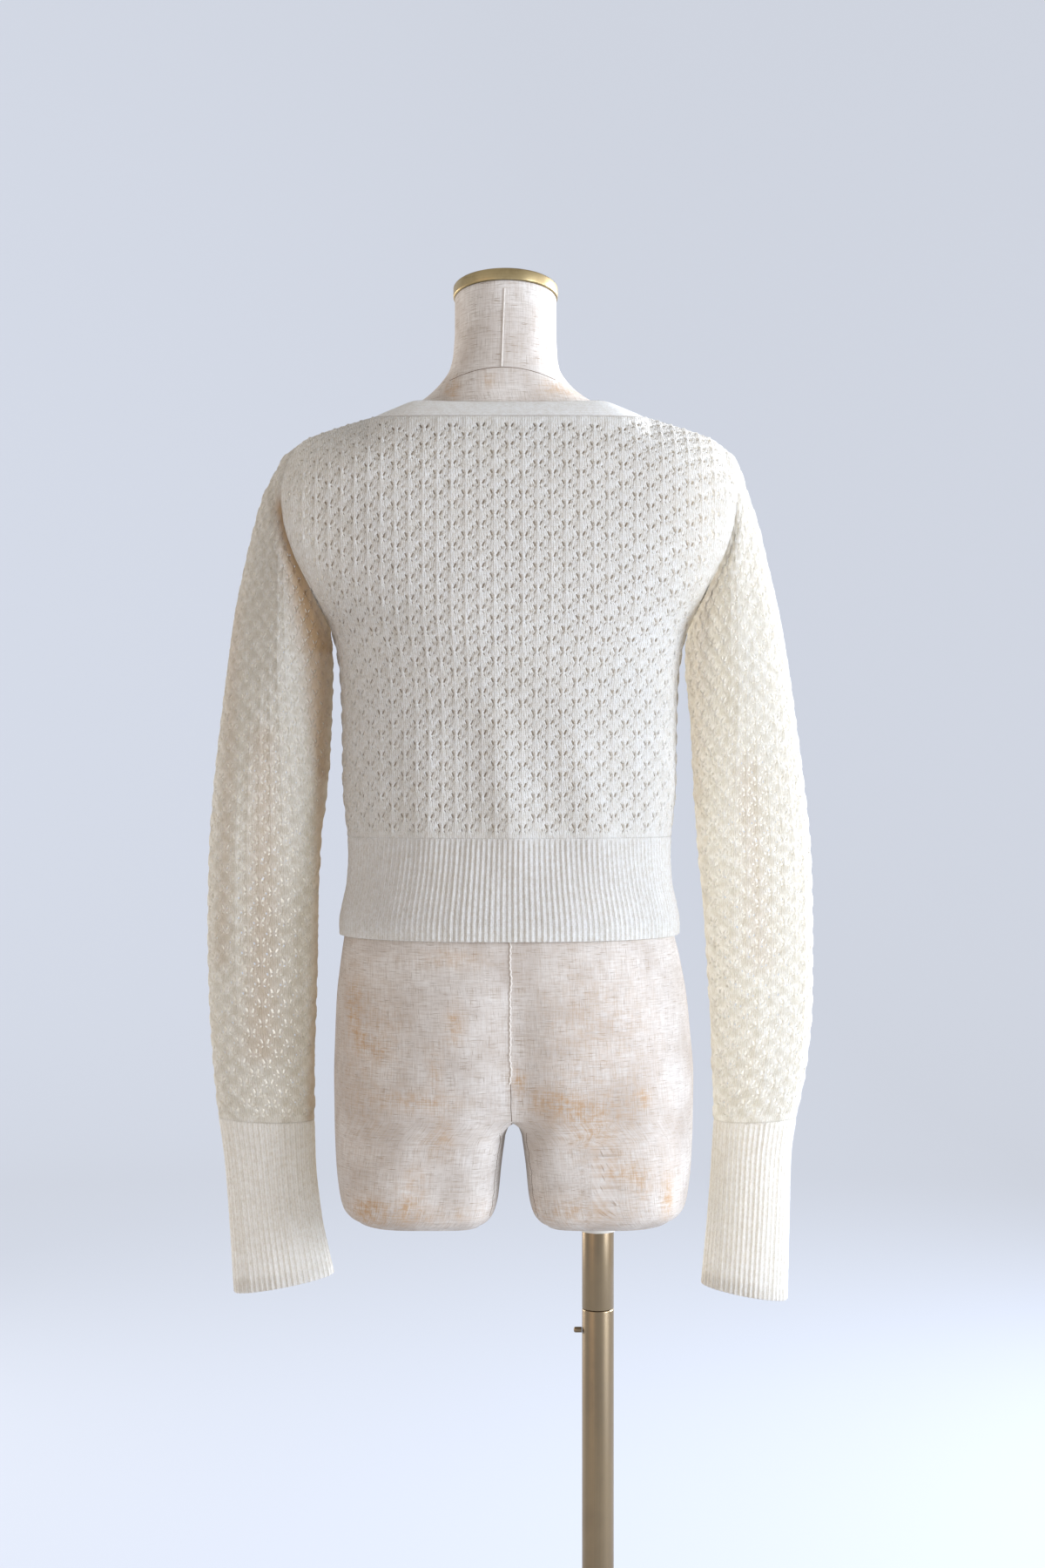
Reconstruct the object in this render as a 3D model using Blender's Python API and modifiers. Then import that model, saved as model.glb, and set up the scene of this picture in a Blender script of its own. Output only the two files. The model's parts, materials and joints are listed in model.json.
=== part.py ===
"""Lace-knit cardigan on a limbless linen dress form that stands on one pole.

Metres, +Z up. The origin is on the floor under the middle of the garment. The front of
the cardigan faces -Y and the wearer's left side is at +X. Knitted pieces are thin walls
worked out from body heights, widths and depths, and meet with a small gap at each seam.
"""

import math

import bmesh
import bpy
from mathutils import Vector

# Cloth
WALL = 0.0020
SEAM_GAP = 0.0003
HALF_GAP = SEAM_GAP / 2
RIB_PITCH = 0.0044
RIB_RELIEF = 0.0005
BAND_WIDTH = 0.025
BAND_LIFT = 0.0031
BAND_LAP = 0.003
CLEARANCE = 0.0031

# Heights and widths of the worn cardigan
HEM_BOTTOM = 0.9170
HEM_TOP = 1.0040
ARMPIT_Z = 1.1880
TIP_Z = 1.3470
TIP_X = 0.1870
NECK_Z = 1.3722
NECK_X = 0.1202
V_POINT_Z = 1.2120
BACK_NECK_Y = 0.0745
BACK_NECK_SLOPE = 0.137
FRONT_NECK_SLOPE = 0.20
NECK_POWER = 3.0
V_CURVE = 1.12
SHOULDER_ROUND = 0.055
SECTION_POWER = 2.3

# Steps of the walls
BODY_STEPS = 5
ARM_STEPS = 12
NECK_STEPS = 6
SHOULDER_STEPS = 5
FRONT_COLUMNS = 8
SLEEVE_SIDES = 2 * ARM_STEPS
HEM_ROWS = (1.0, 0.72, 0.36, 0.0)
CUFF_RIBS = 46
RIBS_PER_INNER = 2
LINE_STEPS = 720
SHARP_ANGLE = math.radians(40)

# How seams and bands lie
UNDERARM_LEAN = 0.7
SLOPE_REACH = 0.004
NECK_ACROSS_BACK = Vector((0.0, -0.775, 0.632))
NECK_ACROSS_END = Vector((0.93, 0.0, 0.37))
BAND_TURN_ROWS = 3
BAND_V_BLEND = 0.03
LAP_ENDS = (0.66, 0.78)
LIFT_ENDS = (0.80, 0.92)
SEAM_KEEP_RINGS = 7.5

# Buttons: rim and well as shares of the radius
BUTTON_RADIUS = 0.0065
BUTTON_HEIGHT = 0.0030
BUTTON_COUNT = 7
BUTTON_FIRST_Z = 0.935
BUTTON_SPACING = 0.0433
BUTTON_WELL = 0.62
BUTTON_CREST = 0.80
BUTTON_FOOT = 0.85

# Dress form and stand
FORM_SIDES = 28
LEG_OUTER_TURN = math.radians(264)
LEG_INNER_POINTS = 5
THIGH_OUTER_POWER = 2.5
THIGH_INNER_POWER = 6.0
CROTCH_Z = 0.761
CROTCH_RISE = 0.004
COVERED_Z = (1.16, 1.13, 1.09, 1.05, 1.01, 0.985, 0.96, 0.94)
COVERED_MARGIN = 0.0004
TILT_FROM_Z = 1.41
NECK_TOP_Z = 1.4765
CAP_TILT = math.radians(9.5)
CAP_RADIUS = 0.0460
CAP_HEIGHT = 0.0106
CAP_BASE_Z = 1.4771
NECK_CENTRE_X = 0.0035
FORM_BOTTOM_Z = 0.6725
FOOT_X = 0.082
FOOT_Y = 0.009
FOOT_SHARE = 0.9
POLE_X = -0.078
POLE_RADIUS = 0.0140
POLE_JOINT_Z = 0.5885
COLLAR_RADIUS = 0.0170
COLLAR_HEIGHT = 0.0156
PIN_Z = 0.5690
PIN_RADIUS = 0.0025
PIN_LENGTH = 0.0070
SOCKET_RADIUS = 0.0210
SOCKET_HEIGHT = 0.0300
BASE_RADIUS = 0.1800
BASE_HEIGHT = 0.0080
SOFT_EDGE = 0.0012
PLATE_EDGE = 0.0025


class Table:
    """Rows of named columns, read between rows along a smooth curve."""

    def __init__(self, columns, rows):
        self.columns = columns.split()
        self.rows = sorted(rows)

    def at(self, key, column):
        """Value of a column where the first column equals key."""
        keys = [row[0] for row in self.rows]
        values = [row[self.columns.index(column)] for row in self.rows]
        if key <= keys[0]:
            return values[0]
        if key >= keys[-1]:
            return values[-1]
        low = max(i for i in range(len(keys) - 1) if keys[i] <= key)
        span = keys[low + 1] - keys[low]
        slopes = [self.slope(keys, values, i) for i in (low, low + 1)]
        t = (key - keys[low]) / span
        return (values[low] * (1 + 2 * t) * (1 - t) ** 2
                + values[low + 1] * t * t * (3 - 2 * t)
                + span * (slopes[0] * t * (1 - t) ** 2 - slopes[1] * t * t * (1 - t)))

    @staticmethod
    def slope(keys, values, i):
        """Slope at a row, flat where the column turns back."""
        last = len(keys) - 1
        if i in (0, last):
            a, b = (0, 1) if i == 0 else (last - 1, last)
            return (values[b] - values[a]) / (keys[b] - keys[a])
        before = (values[i] - values[i - 1]) / (keys[i] - keys[i - 1])
        after = (values[i + 1] - values[i]) / (keys[i + 1] - keys[i])
        if before * after <= 0:
            return 0.0
        return 2 * before * after / (before + after)


# Outside of the cardigan's body: half width of the closed section, which the armholes
# cut above the armpits, and depth at the middle of the back and of the front.
BODY = Table("z half back front", [
    (0.917, 0.1488, 0.1180, 0.1060),
    (0.930, 0.1490, 0.1170, 0.1060),
    (0.945, 0.1465, 0.1140, 0.1050),
    (0.965, 0.1425, 0.1080, 0.1030),
    (0.988, 0.1412, 0.1005, 0.1015),
    (1.010, 0.1425, 0.0945, 0.1010),
    (1.050, 0.1462, 0.0880, 0.1020),
    (1.100, 0.1468, 0.0870, 0.1090),
    (1.142, 0.1485, 0.0895, 0.1175),
    (1.165, 0.1515, 0.0915, 0.1212),
    (1.188, 0.1580, 0.0932, 0.1220),
    (1.220, 0.1830, 0.0945, 0.1180),
    (1.260, 0.2080, 0.0945, 0.1060),
    (1.300, 0.2165, 0.0920, 0.0910),
    (1.330, 0.2130, 0.0870, 0.0770),
    (1.347, 0.2050, 0.0815, 0.0700),
    (1.362, 0.1900, 0.0745, 0.0640),
    (1.375, 0.1700, 0.0680, 0.0590),
])

# Armhole seam seen from behind.
ARMHOLE = Table("z x", [
    (1.188, 0.1580),
    (1.200, 0.1630),
    (1.220, 0.1722),
    (1.250, 0.1862),
    (1.280, 0.1945),
    (1.300, 0.1960),
    (1.320, 0.1940),
    (1.347, 0.1870),
])

# Height of the shoulder seam along its width.
SHOULDER = Table("x z", [
    (0.1202, 1.3722),
    (0.1300, 1.3695),
    (0.1500, 1.3633),
    (0.1680, 1.3575),
    (0.1800, 1.3523),
    (0.1870, 1.3470),
])

# Sleeves: the outer and the inner line of each ring, and its half depth.
SLEEVE_COLUMNS = "ring out_z out_x in_z in_x depth"
SLEEVES = {
    "left": Table(SLEEVE_COLUMNS, [
        (0, 1.347, 0.1870, 1.188, 0.1580, 0.0500),
        (1, 1.338, 0.1975, 1.179, 0.1573, 0.0505),
        (2, 1.325, 0.2050, 1.170, 0.1568, 0.0510),
        (3, 1.305, 0.2155, 1.158, 0.1563, 0.0515),
        (4, 1.280, 0.2232, 1.143, 0.1560, 0.0510),
        (5, 1.245, 0.2318, 1.124, 0.1562, 0.0495),
        (6, 1.200, 0.2412, 1.095, 0.1572, 0.0460),
        (7, 1.150, 0.2482, 1.065, 0.1592, 0.0425),
        (8, 1.100, 0.2545, 1.032, 0.1625, 0.0395),
        (9, 1.050, 0.2600, 1.000, 0.1665, 0.0375),
        (10, 0.985, 0.2645, 0.955, 0.1684, 0.0365),
        (11, 0.920, 0.2655, 0.900, 0.1692, 0.0355),
        (12, 0.860, 0.2642, 0.848, 0.1710, 0.0345),
        (13, 0.805, 0.2608, 0.800, 0.1720, 0.0330),
        (14, 0.757, 0.2560, 0.7545, 0.1723, 0.0310),
    ]),
    "right": Table(SLEEVE_COLUMNS, [
        (0, 1.347, 0.1870, 1.188, 0.1580, 0.0500),
        (1, 1.338, 0.1965, 1.179, 0.1568, 0.0505),
        (2, 1.325, 0.2030, 1.170, 0.1560, 0.0510),
        (3, 1.305, 0.2095, 1.158, 0.1555, 0.0515),
        (4, 1.280, 0.2180, 1.143, 0.1560, 0.0510),
        (5, 1.245, 0.2265, 1.124, 0.1578, 0.0495),
        (6, 1.200, 0.2370, 1.095, 0.1602, 0.0460),
        (7, 1.150, 0.2457, 1.065, 0.1618, 0.0425),
        (8, 1.100, 0.2527, 1.032, 0.1635, 0.0395),
        (9, 1.050, 0.2592, 1.000, 0.1658, 0.0375),
        (10, 0.985, 0.2655, 0.955, 0.1698, 0.0365),
        (11, 0.920, 0.2669, 0.900, 0.1740, 0.0355),
        (12, 0.860, 0.2666, 0.848, 0.1770, 0.0345),
        (13, 0.805, 0.2618, 0.800, 0.1788, 0.0330),
        (14, 0.757, 0.2525, 0.7545, 0.1804, 0.0305),
    ]),
}

# Cuffs, from the sleeve down to the slanted bottom edge.
CUFFS = {
    "left": Table(SLEEVE_COLUMNS, [
        (0, 0.7570, 0.2560, 0.7545, 0.1723, 0.0310),
        (1, 0.7200, 0.2508, 0.7180, 0.1712, 0.0280),
        (2, 0.6700, 0.2468, 0.6720, 0.1662, 0.0262),
        (3, 0.6035, 0.2427, 0.6200, 0.1552, 0.0250),
    ]),
    "right": Table(SLEEVE_COLUMNS, [
        (0, 0.7570, 0.2525, 0.7545, 0.1804, 0.0305),
        (1, 0.7200, 0.2478, 0.7180, 0.1783, 0.0280),
        (2, 0.6700, 0.2465, 0.6720, 0.1750, 0.0262),
        (3, 0.5972, 0.2448, 0.6110, 0.1694, 0.0250),
    ]),
}

# Largest sleeve folds: turn round the sleeve (0 outer, 90 back, 180 inner), ring where
# each starts and ends, half width and height. A trough has a negative height.
SLEEVE_FOLDS = Table("turn ring_from ring_to to_turn spread height", [
    (84, 2.0, 8.0, 98, 13.0, 0.0035),
    (118, 1.5, 7.0, 126, 13.0, -0.0050),
    (52, 3.0, 7.5, 70, 14.0, -0.0025),
    (96, 7.5, 12.0, 76, 17.0, -0.0025),
    (262, 2.0, 8.0, 250, 15.0, 0.0030),
    (236, 1.5, 6.5, 228, 13.0, -0.0040),
    (290, 6.5, 11.5, 300, 17.0, -0.0025),
])

# Dress form above the shoulders and below the hem.
FORM = Table("z half back front power centre", [
    (NECK_TOP_Z, 0.0446, 0.0446, 0.0446, 2.0, 0.0035),
    (1.4500, 0.0446, 0.0450, 0.0450, 2.0, 0.0035),
    (1.4270, 0.0458, 0.0460, 0.0455, 2.0, 0.0038),
    (1.4150, 0.0482, 0.0470, 0.0460, 2.0, 0.0042),
    (1.4030, 0.0558, 0.0480, 0.0470, 2.0, 0.0042),
    (1.3920, 0.0672, 0.0490, 0.0480, 2.0, 0.0036),
    (1.3840, 0.0795, 0.0500, 0.0490, 2.0, 0.0022),
    (1.3775, 0.0915, 0.0515, 0.0500, 2.0, 0.0008),
    (1.3715, 0.1010, 0.0525, 0.0515, 2.0, 0.0),
    (1.3620, 0.1330, 0.0580, 0.0540, 2.0, 0.0),
    (1.3485, 0.1635, 0.0680, 0.0605, 2.1, 0.0),
    (1.3300, 0.1760, 0.0820, 0.0720, 2.5, 0.0),
    (1.3000, 0.1750, 0.0885, 0.0870, 2.9, 0.0),
    (1.2600, 0.1700, 0.0910, 0.1020, 3.0, 0.0),
    (1.2200, 0.1600, 0.0910, 0.1135, 2.6, 0.0),
    (1.1880, 0.1530, 0.0895, 0.1185, 2.3, 0.0),
])
FORM_BELOW = Table("z half back front power centre", [
    (0.9170, 0.1450, 0.1140, 0.1022, 2.3, 0.0),
    (0.8960, 0.1490, 0.1170, 0.1040, 2.3, -0.0010),
    (0.8650, 0.1535, 0.1190, 0.1050, 2.3, -0.0020),
    (0.8300, 0.1560, 0.1180, 0.1045, 2.3, -0.0030),
    (0.7960, 0.1577, 0.1146, 0.1024, 2.4, -0.0038),
    (0.7670, 0.1574, 0.1100, 0.0998, 2.45, -0.0038),
])

# Thigh stubs: inner and outer side measured from the form's middle.
THIGH = Table("z inner outer back front", [
    (0.6745, 0.0262, 0.1390, 0.0860, 0.0730),
    (0.6775, 0.0195, 0.1450, 0.0905, 0.0785),
    (0.6840, 0.0140, 0.1497, 0.0950, 0.0835),
    (0.6960, 0.0108, 0.1525, 0.0975, 0.0865),
    (0.7210, 0.0090, 0.1553, 0.0990, 0.0890),
    (0.7490, 0.0052, 0.1566, 0.1003, 0.0912),
])


def share(value):
    """Value held between 0 and 1."""
    return min(max(value, 0.0), 1.0)


def body_rows():
    """Heights of the panels' rows at their side edge, from the hem rib to the shoulder."""
    low = [HEM_TOP + (ARMPIT_Z - HEM_TOP) * i / BODY_STEPS for i in range(BODY_STEPS)]
    middle = (ARMPIT_Z + TIP_Z) / 2
    half = (TIP_Z - ARMPIT_Z) / 2
    high = [middle - half * math.cos(math.pi * k / ARM_STEPS) for k in range(ARM_STEPS + 1)]
    return low + high


def panel_edge(z):
    """Half width of a panel at a height: the side seam, then the armhole."""
    return BODY.at(z, "half") if z <= ARMPIT_Z else ARMHOLE.at(z, "x")


def neck_depth(x, face):
    """Depth of the top edge of the back at a width; the shoulder line has none."""
    if face == "front" or abs(x) >= NECK_X:
        return 0.0
    return BACK_NECK_Y * (1 - (abs(x) / NECK_X) ** NECK_POWER) ** (1 / NECK_POWER)


def top_line(x, face):
    """Height of the top edge: the shoulder seam, and the neck inside it."""
    if abs(x) >= NECK_X:
        return SHOULDER.at(abs(x), "z")
    if face == "front":
        return NECK_Z + FRONT_NECK_SLOPE * (NECK_X - abs(x))
    return NECK_Z - BACK_NECK_SLOPE * neck_depth(x, face)


def depth(x, z, face):
    """Distance of the cardigan's outside from the side plane at a width and height."""
    across = min(abs(x) / BODY.at(z, "half"), 1.0)
    full = BODY.at(z, face) * (1 - across ** SECTION_POWER) ** (1 / SECTION_POWER)
    top = neck_depth(x, face)
    below = share((top_line(x, face) - z) / SHOULDER_ROUND)
    return top + (full - top) * math.sqrt(1 - (1 - below) ** 2)


def sign_of(face):
    """The back lies at +Y and the front at -Y."""
    return 1.0 if face == "back" else -1.0


def body_point(x, z, face):
    """Point on the outside of the body at a width and height."""
    return Vector((x, sign_of(face) * depth(x, z, face), z))


def armhole_point(step, side, face):
    """Point on the armhole seam; step 0 is the armpit and the last step the shoulder."""
    z = body_rows()[BODY_STEPS + step]
    x = panel_edge(z) if step else BODY.at(ARMPIT_Z, "half")
    if step in (0, ARM_STEPS):
        return Vector((side * x, 0.0, z))
    return Vector((side * x, sign_of(face) * depth(x, z, face), z))


def armhole_frame(step, side, face):
    """Seam point, direction through the wall and direction out along the sleeve."""
    here = armhole_point(step, side, face)
    middle = Vector((here.x, 0.0, (ARMPIT_Z + TIP_Z) / 2))
    inward = (middle - here).normalized()
    if step in (0, ARM_STEPS):
        along = Vector((0.0, 1.0, 0.0))
    else:
        along = armhole_point(step + 1, side, face) - armhole_point(step - 1, side, face)
    out = along.cross(inward).normalized()
    if out.x * side < 0:
        out.negate()
    return here, inward, out


def front_edge(row_z, side):
    """Seam between a front panel and its band, at a row of the panel."""
    x = BAND_WIDTH / 2
    z = row_z
    for _ in range(6):
        z = row_height(row_z, x, "front")
        rise = share((z - V_POINT_Z) / (NECK_Z - V_POINT_Z))
        x = BAND_WIDTH / 2 + (NECK_X - BAND_WIDTH / 2) * rise ** V_CURVE
    if row_z == TIP_Z:
        x, z = NECK_X, NECK_Z
    return body_point(side * x, z, "front")


def row_height(row_z, x, face):
    """Height of a row away from the side: rows rise towards the neck."""
    rise = share((row_z - ARMPIT_Z) / (TIP_Z - ARMPIT_Z))
    return row_z + rise * (top_line(x, face) - TIP_Z)


def inward_normals(grid, closed, heart):
    """Unit directions into the wall at each point of a grid, towards its heart line."""
    rows = len(grid)
    columns = len(grid[0])
    result = []
    for r in range(rows):
        line = []
        for c in range(columns):
            if closed:
                across = grid[r][(c + 1) % columns] - grid[r][c - 1]
            else:
                across = grid[r][min(c + 1, columns - 1)] - grid[r][max(c - 1, 0)]
            along = grid[min(r + 1, rows - 1)][c] - grid[max(r - 1, 0)][c]
            normal = across.cross(along).normalized()
            if normal.dot(heart(grid[r][c], r) - grid[r][c]) < 0:
                normal.negate()
            line.append(normal)
        result.append(line)
    return result


def body_heart(point, _row):
    """Point inside the body that the cloth's inner side faces."""
    return Vector((0.0, 0.0, min(point.z, 1.30)))


def add_object(name, vertices, faces, material):
    """Make a mesh object from points and faces, with its faces pointing out."""
    mesh = bpy.data.meshes.new(name)
    mesh.from_pydata([tuple(v) for v in vertices], [], faces)
    work = bmesh.new()
    work.from_mesh(mesh)
    bmesh.ops.recalc_face_normals(work, faces=work.faces)
    work.to_mesh(mesh)
    work.free()
    mesh.shade_smooth()
    mesh.set_sharp_from_angle(angle=SHARP_ANGLE)
    thing = bpy.data.objects.new(name, mesh)
    thing.data.materials.append(material)
    COLLECTION.objects.link(thing)
    return thing


def add_wall(name, outer, inner, closed, material):
    """Close an outer and an inner grid into a wall; the outer one may be finer."""
    vertices = [p for row in outer for p in row]
    start = len(vertices)
    vertices += [p for row in inner for p in row]
    wide = len(outer[0])
    thin = len(inner[0])
    rows = len(outer)
    faces = []
    for columns, base in ((wide, 0), (thin, start)):
        for r in range(rows - 1):
            for c in range(columns if closed else columns - 1):
                d = (c + 1) % columns
                a = base + r * columns
                faces.append((a + c, a + d, a + columns + d, a + columns + c))
    segments = wide if closed else wide - 1
    inner_segments = thin if closed else thin - 1
    finer = segments // inner_segments
    for r in (0, rows - 1):
        for c in range(inner_segments):
            rim = [r * wide + (c * finer + i) % wide for i in range(finer + 1)]
            d = (c + 1) % thin
            rim += [start + r * thin + d, start + r * thin + c]
            faces.append(tuple(rim))
    if not closed:
        for o, i in ((0, 0), (wide - 1, thin - 1)):
            for r in range(rows - 1):
                faces.append((r * wide + o, (r + 1) * wide + o,
                              start + (r + 1) * thin + i, start + r * thin + i))
    return add_object(name, vertices, faces, material)


def neck_columns():
    """Widths at which the back neck seam has its points, from the middle outwards."""
    return [NECK_X * math.sin(math.pi / 2 * j / NECK_STEPS) for j in range(NECK_STEPS + 1)]


def back_columns(row_z):
    """Widths of the back's points in one row: even round the side, then as the top."""
    rise = share((row_z - ARMPIT_Z) / (TIP_Z - ARMPIT_Z)) ** 2
    count = NECK_STEPS + SHOULDER_STEPS
    top = neck_columns() + [NECK_X + (TIP_X - NECK_X) * (j + 1) / SHOULDER_STEPS
                            for j in range(SHOULDER_STEPS)]
    edge = panel_edge(row_z)
    half = [edge * math.sin(j / count * math.pi / 2) * (1 - rise)
            + top[j] * edge / TIP_X * rise for j in range(count + 1)]
    return [-x for x in reversed(half)] + half[1:]


def panel_grid(face, side):
    """Outer points and inward directions of a body panel, from hem rib to shoulder."""
    grid = []
    rows = body_rows()
    for row_z in rows:
        edge = panel_edge(row_z)
        line = []
        if face == "back":
            for x in back_columns(row_z):
                line.append(body_point(x, row_height(row_z, x, face), face))
        else:
            start = abs(front_edge(row_z, side).x)
            for c in range(FRONT_COLUMNS + 1):
                x = start + (edge - start) * math.sin(c / FRONT_COLUMNS * math.pi / 2)
                line.append(body_point(side * x, row_height(row_z, x, face), face))
        grid.append(line)
    return grid, inward_normals(grid, False, body_heart)


def finish_side(grid, inward, column, side, face):
    """Set a panel's side edge on the side seam and the armhole."""
    for r, row_z in enumerate(body_rows()):
        if row_z < ARMPIT_Z - 1e-6:
            point = Vector((side * panel_edge(row_z), sign_of(face) * HALF_GAP, row_z))
            grid[r][column] = point
            inward[r][column] = Vector((-side, 0.0, 0.0))
            continue
        step = r - BODY_STEPS
        point, through, out = armhole_frame(step, side, face)
        grid[r][column] = point - out * HALF_GAP
        inward[r][column] = through
        if step in (0, ARM_STEPS):
            grid[r][column].y = sign_of(face) * HALF_GAP
        if step == 0:
            lean = UNDERARM_LEAN
            inward[r][column] = Vector((-side * lean, 0.0, lean)).normalized()


def shoulder_inward(x):
    """Direction through the wall at the shoulder seam."""
    near = SHOULDER.at(abs(x) - SLOPE_REACH, "z")
    far = SHOULDER.at(abs(x) + SLOPE_REACH, "z")
    slope = (far - near) / (2 * SLOPE_REACH)
    return Vector((math.copysign(slope, x), 0.0, -1.0)).normalized()


def back_neck_frame(x):
    """Seam of the back neck band: point, direction across the band, inward."""
    point = Vector((x, neck_depth(x, "back"), top_line(x, "back")))
    turn = min(abs(x) / NECK_X, 1.0) ** NECK_POWER
    end = Vector((-math.copysign(NECK_ACROSS_END.x, x), 0.0, NECK_ACROSS_END.z))
    across = NECK_ACROSS_BACK.lerp(end, turn).normalized()
    a = max(-NECK_X, x - SLOPE_REACH / 2)
    b = min(NECK_X, x + SLOPE_REACH / 2)
    along = (Vector((b, neck_depth(b, "back"), top_line(b, "back")))
             - Vector((a, neck_depth(a, "back"), top_line(a, "back"))))
    if abs(x) > NECK_X - 1e-6:
        along = Vector((0.0, math.copysign(1.0, x), 0.0))
    inward = across.cross(along).normalized()
    if inward.z > 0:
        inward.negate()
    return point, across, inward


def finish_top(grid, inward, face):
    """Set the last row on the shoulder seam and the back neck."""
    last = len(grid) - 1
    for c, point in enumerate(grid[last]):
        if abs(point.x) >= NECK_X - 1e-4:
            grid[last][c] = Vector((point.x, sign_of(face) * HALF_GAP,
                                    top_line(point.x, face)))
            inward[last][c] = shoulder_inward(point.x)
        elif face == "back":
            seam, across, through = back_neck_frame(point.x)
            grid[last][c] = seam - across * HALF_GAP
            inward[last][c] = through


def offset(grid, inward, distance):
    """Move each point of a grid through the wall."""
    return [[p + n * distance for p, n in zip(*pair)] for pair in zip(grid, inward)]


def add_panels(material):
    """Back and two fronts, from the hem rib to the shoulder seams."""
    for name, face, sides in (("back", "back", (-1, 1)), ("front_left", "front", (1,)),
                              ("front_right", "front", (-1,))):
        grid, inward = panel_grid(face, sides[0])
        finish_top(grid, inward, face)
        for side in sides:
            column = 0 if (face == "back" and side < 0) else len(grid[0]) - 1
            finish_side(grid, inward, column, side, face)
        if face == "front":
            for row in grid:
                row[0] = row[0] + (row[1] - row[0]).normalized() * HALF_GAP
        for c, point in enumerate(grid[0]):
            point.z += HALF_GAP
            inward[0][c] = Vector((*inward[0][c].xy, 0.0)).normalized()
        add_wall(name, grid, offset(grid, inward, WALL), False, material)


def spaced(points, count):
    """Points an even distance apart along a line of points, with their directions."""
    lengths = [0.0]
    for a, b in zip(points, points[1:]):
        lengths.append(lengths[-1] + (b - a).length)
    result = []
    low = 0
    for k in range(count + 1):
        target = lengths[-1] * k / count
        while low < len(points) - 2 and lengths[low + 1] < target:
            low += 1
        t = (target - lengths[low]) / (lengths[low + 1] - lengths[low])
        result.append((points[low].lerp(points[low + 1], t),
                       (points[low + 1] - points[low]).normalized()))
    return result


def hem_line(z, face, start, end):
    """Outside of the hem at a height; a start or end of 0 is the front band's seam."""
    half = BODY.at(z, "half")
    a, b = (math.asin(part if part else (BAND_WIDTH / 2 + HALF_GAP) / half)
            for part in (start, end))
    turns = [a + (b - a) * i / LINE_STEPS for i in range(LINE_STEPS + 1)]
    return [body_point(half * math.sin(t), z, face) for t in turns]


def add_hem(name, face, start, end, side, material):
    """Ribbed hem of one panel: ribs stand on the outside, the inside is plain."""
    line = hem_line(HEM_TOP, face, start, end)
    length = sum((b - a).length for a, b in zip(line, line[1:]))
    ribs = RIBS_PER_INNER * round(length / RIB_PITCH / RIBS_PER_INNER)
    outer = []
    inner = []
    for part in HEM_ROWS:
        z = HEM_BOTTOM + (HEM_TOP - HALF_GAP - HEM_BOTTOM) * part
        top = HEM_BOTTOM + (HEM_TOP - HEM_BOTTOM) * part
        line = spaced(hem_line(top, face, start, end), 2 * ribs)
        fine = []
        plain = []
        for i, (point, along) in enumerate(line):
            point = Vector((side * point.x, point.y, point.z))
            out = Vector((along.y * side, -along.x, 0.0)).normalized()
            if out.dot(point) < 0:
                out.negate()
            if abs(abs(point.x) - panel_edge(top)) < 1e-6:
                out = Vector((math.copysign(1.0, point.x), 0.0, 0.0))
                point = Vector((point.x, sign_of(face) * HALF_GAP, top))
            lift = RIB_RELIEF if i % 2 else -RIB_RELIEF
            fine.append(Vector((*(point + out * lift).xy, z)))
            if i % (2 * RIBS_PER_INNER) == 0:
                plain.append(Vector((*(point - out * WALL).xy, z)))
        outer.append(fine)
        inner.append(plain)
    return add_wall(name, outer, inner, False, material)


def add_hems(material):
    """Hem rib in three pieces; the fronts stop at the bands."""
    add_hem("hem_back", "back", -1.0, 1.0, 1.0, material)
    add_hem("hem_front_left", "front", 1.0, 0.0, 1.0, material)
    add_hem("hem_front_right", "front", 1.0, 0.0, -1.0, material)


def sleeve_ring(side_name, place, table=None):
    """Outer end, inner end and half depth of a sleeve ring."""
    rows = table or SLEEVES[side_name]
    side = 1.0 if side_name == "left" else -1.0
    outer = Vector((side * rows.at(place, "out_x"), 0.0, rows.at(place, "out_z")))
    inner = Vector((side * rows.at(place, "in_x"), 0.0, rows.at(place, "in_z")))
    return outer, inner, rows.at(place, "depth")


def ring_point(outer, inner, half_depth, turn):
    """Point of an oval ring; turn 0 is its outer end and a quarter turn its back."""
    centre = (outer + inner) / 2
    return (centre + (outer - inner) / 2 * math.cos(turn)
            + Vector((0.0, half_depth * math.sin(turn), 0.0)))


def fold_height(turn, place):
    """Height of the folds at a turn in degrees and a ring of the sleeve."""
    total = 0.0
    for start, first, last, end, spread, height in SLEEVE_FOLDS.rows:
        if not first < place < last:
            continue
        run = (place - first) / (last - first)
        line = start + (end - start) * run
        away = (turn - line + 180) % 360 - 180
        total += height * math.sin(math.pi * run) ** 0.8 * math.exp(-(away / spread) ** 2)
    return total


def sleeve_point(side_name, place, index):
    """Point of a sleeve at a ring and one of its sides."""
    side = 1.0 if side_name == "left" else -1.0
    turn = math.pi * index / ARM_STEPS
    face = "back" if index <= ARM_STEPS else "front"
    step = abs(ARM_STEPS - index)
    seam = armhole_point(step, side, face)
    start = ring_point(*sleeve_ring(side_name, 0), turn)
    keep = max(0.0, 1 - place / SEAM_KEEP_RINGS) ** 2
    point = ring_point(*sleeve_ring(side_name, place), turn) + (seam - start) * keep
    outer, inner, _ = sleeve_ring(side_name, place)
    away = (point - (outer + inner) / 2).normalized()
    return point + away * fold_height(math.degrees(turn), place)


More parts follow.
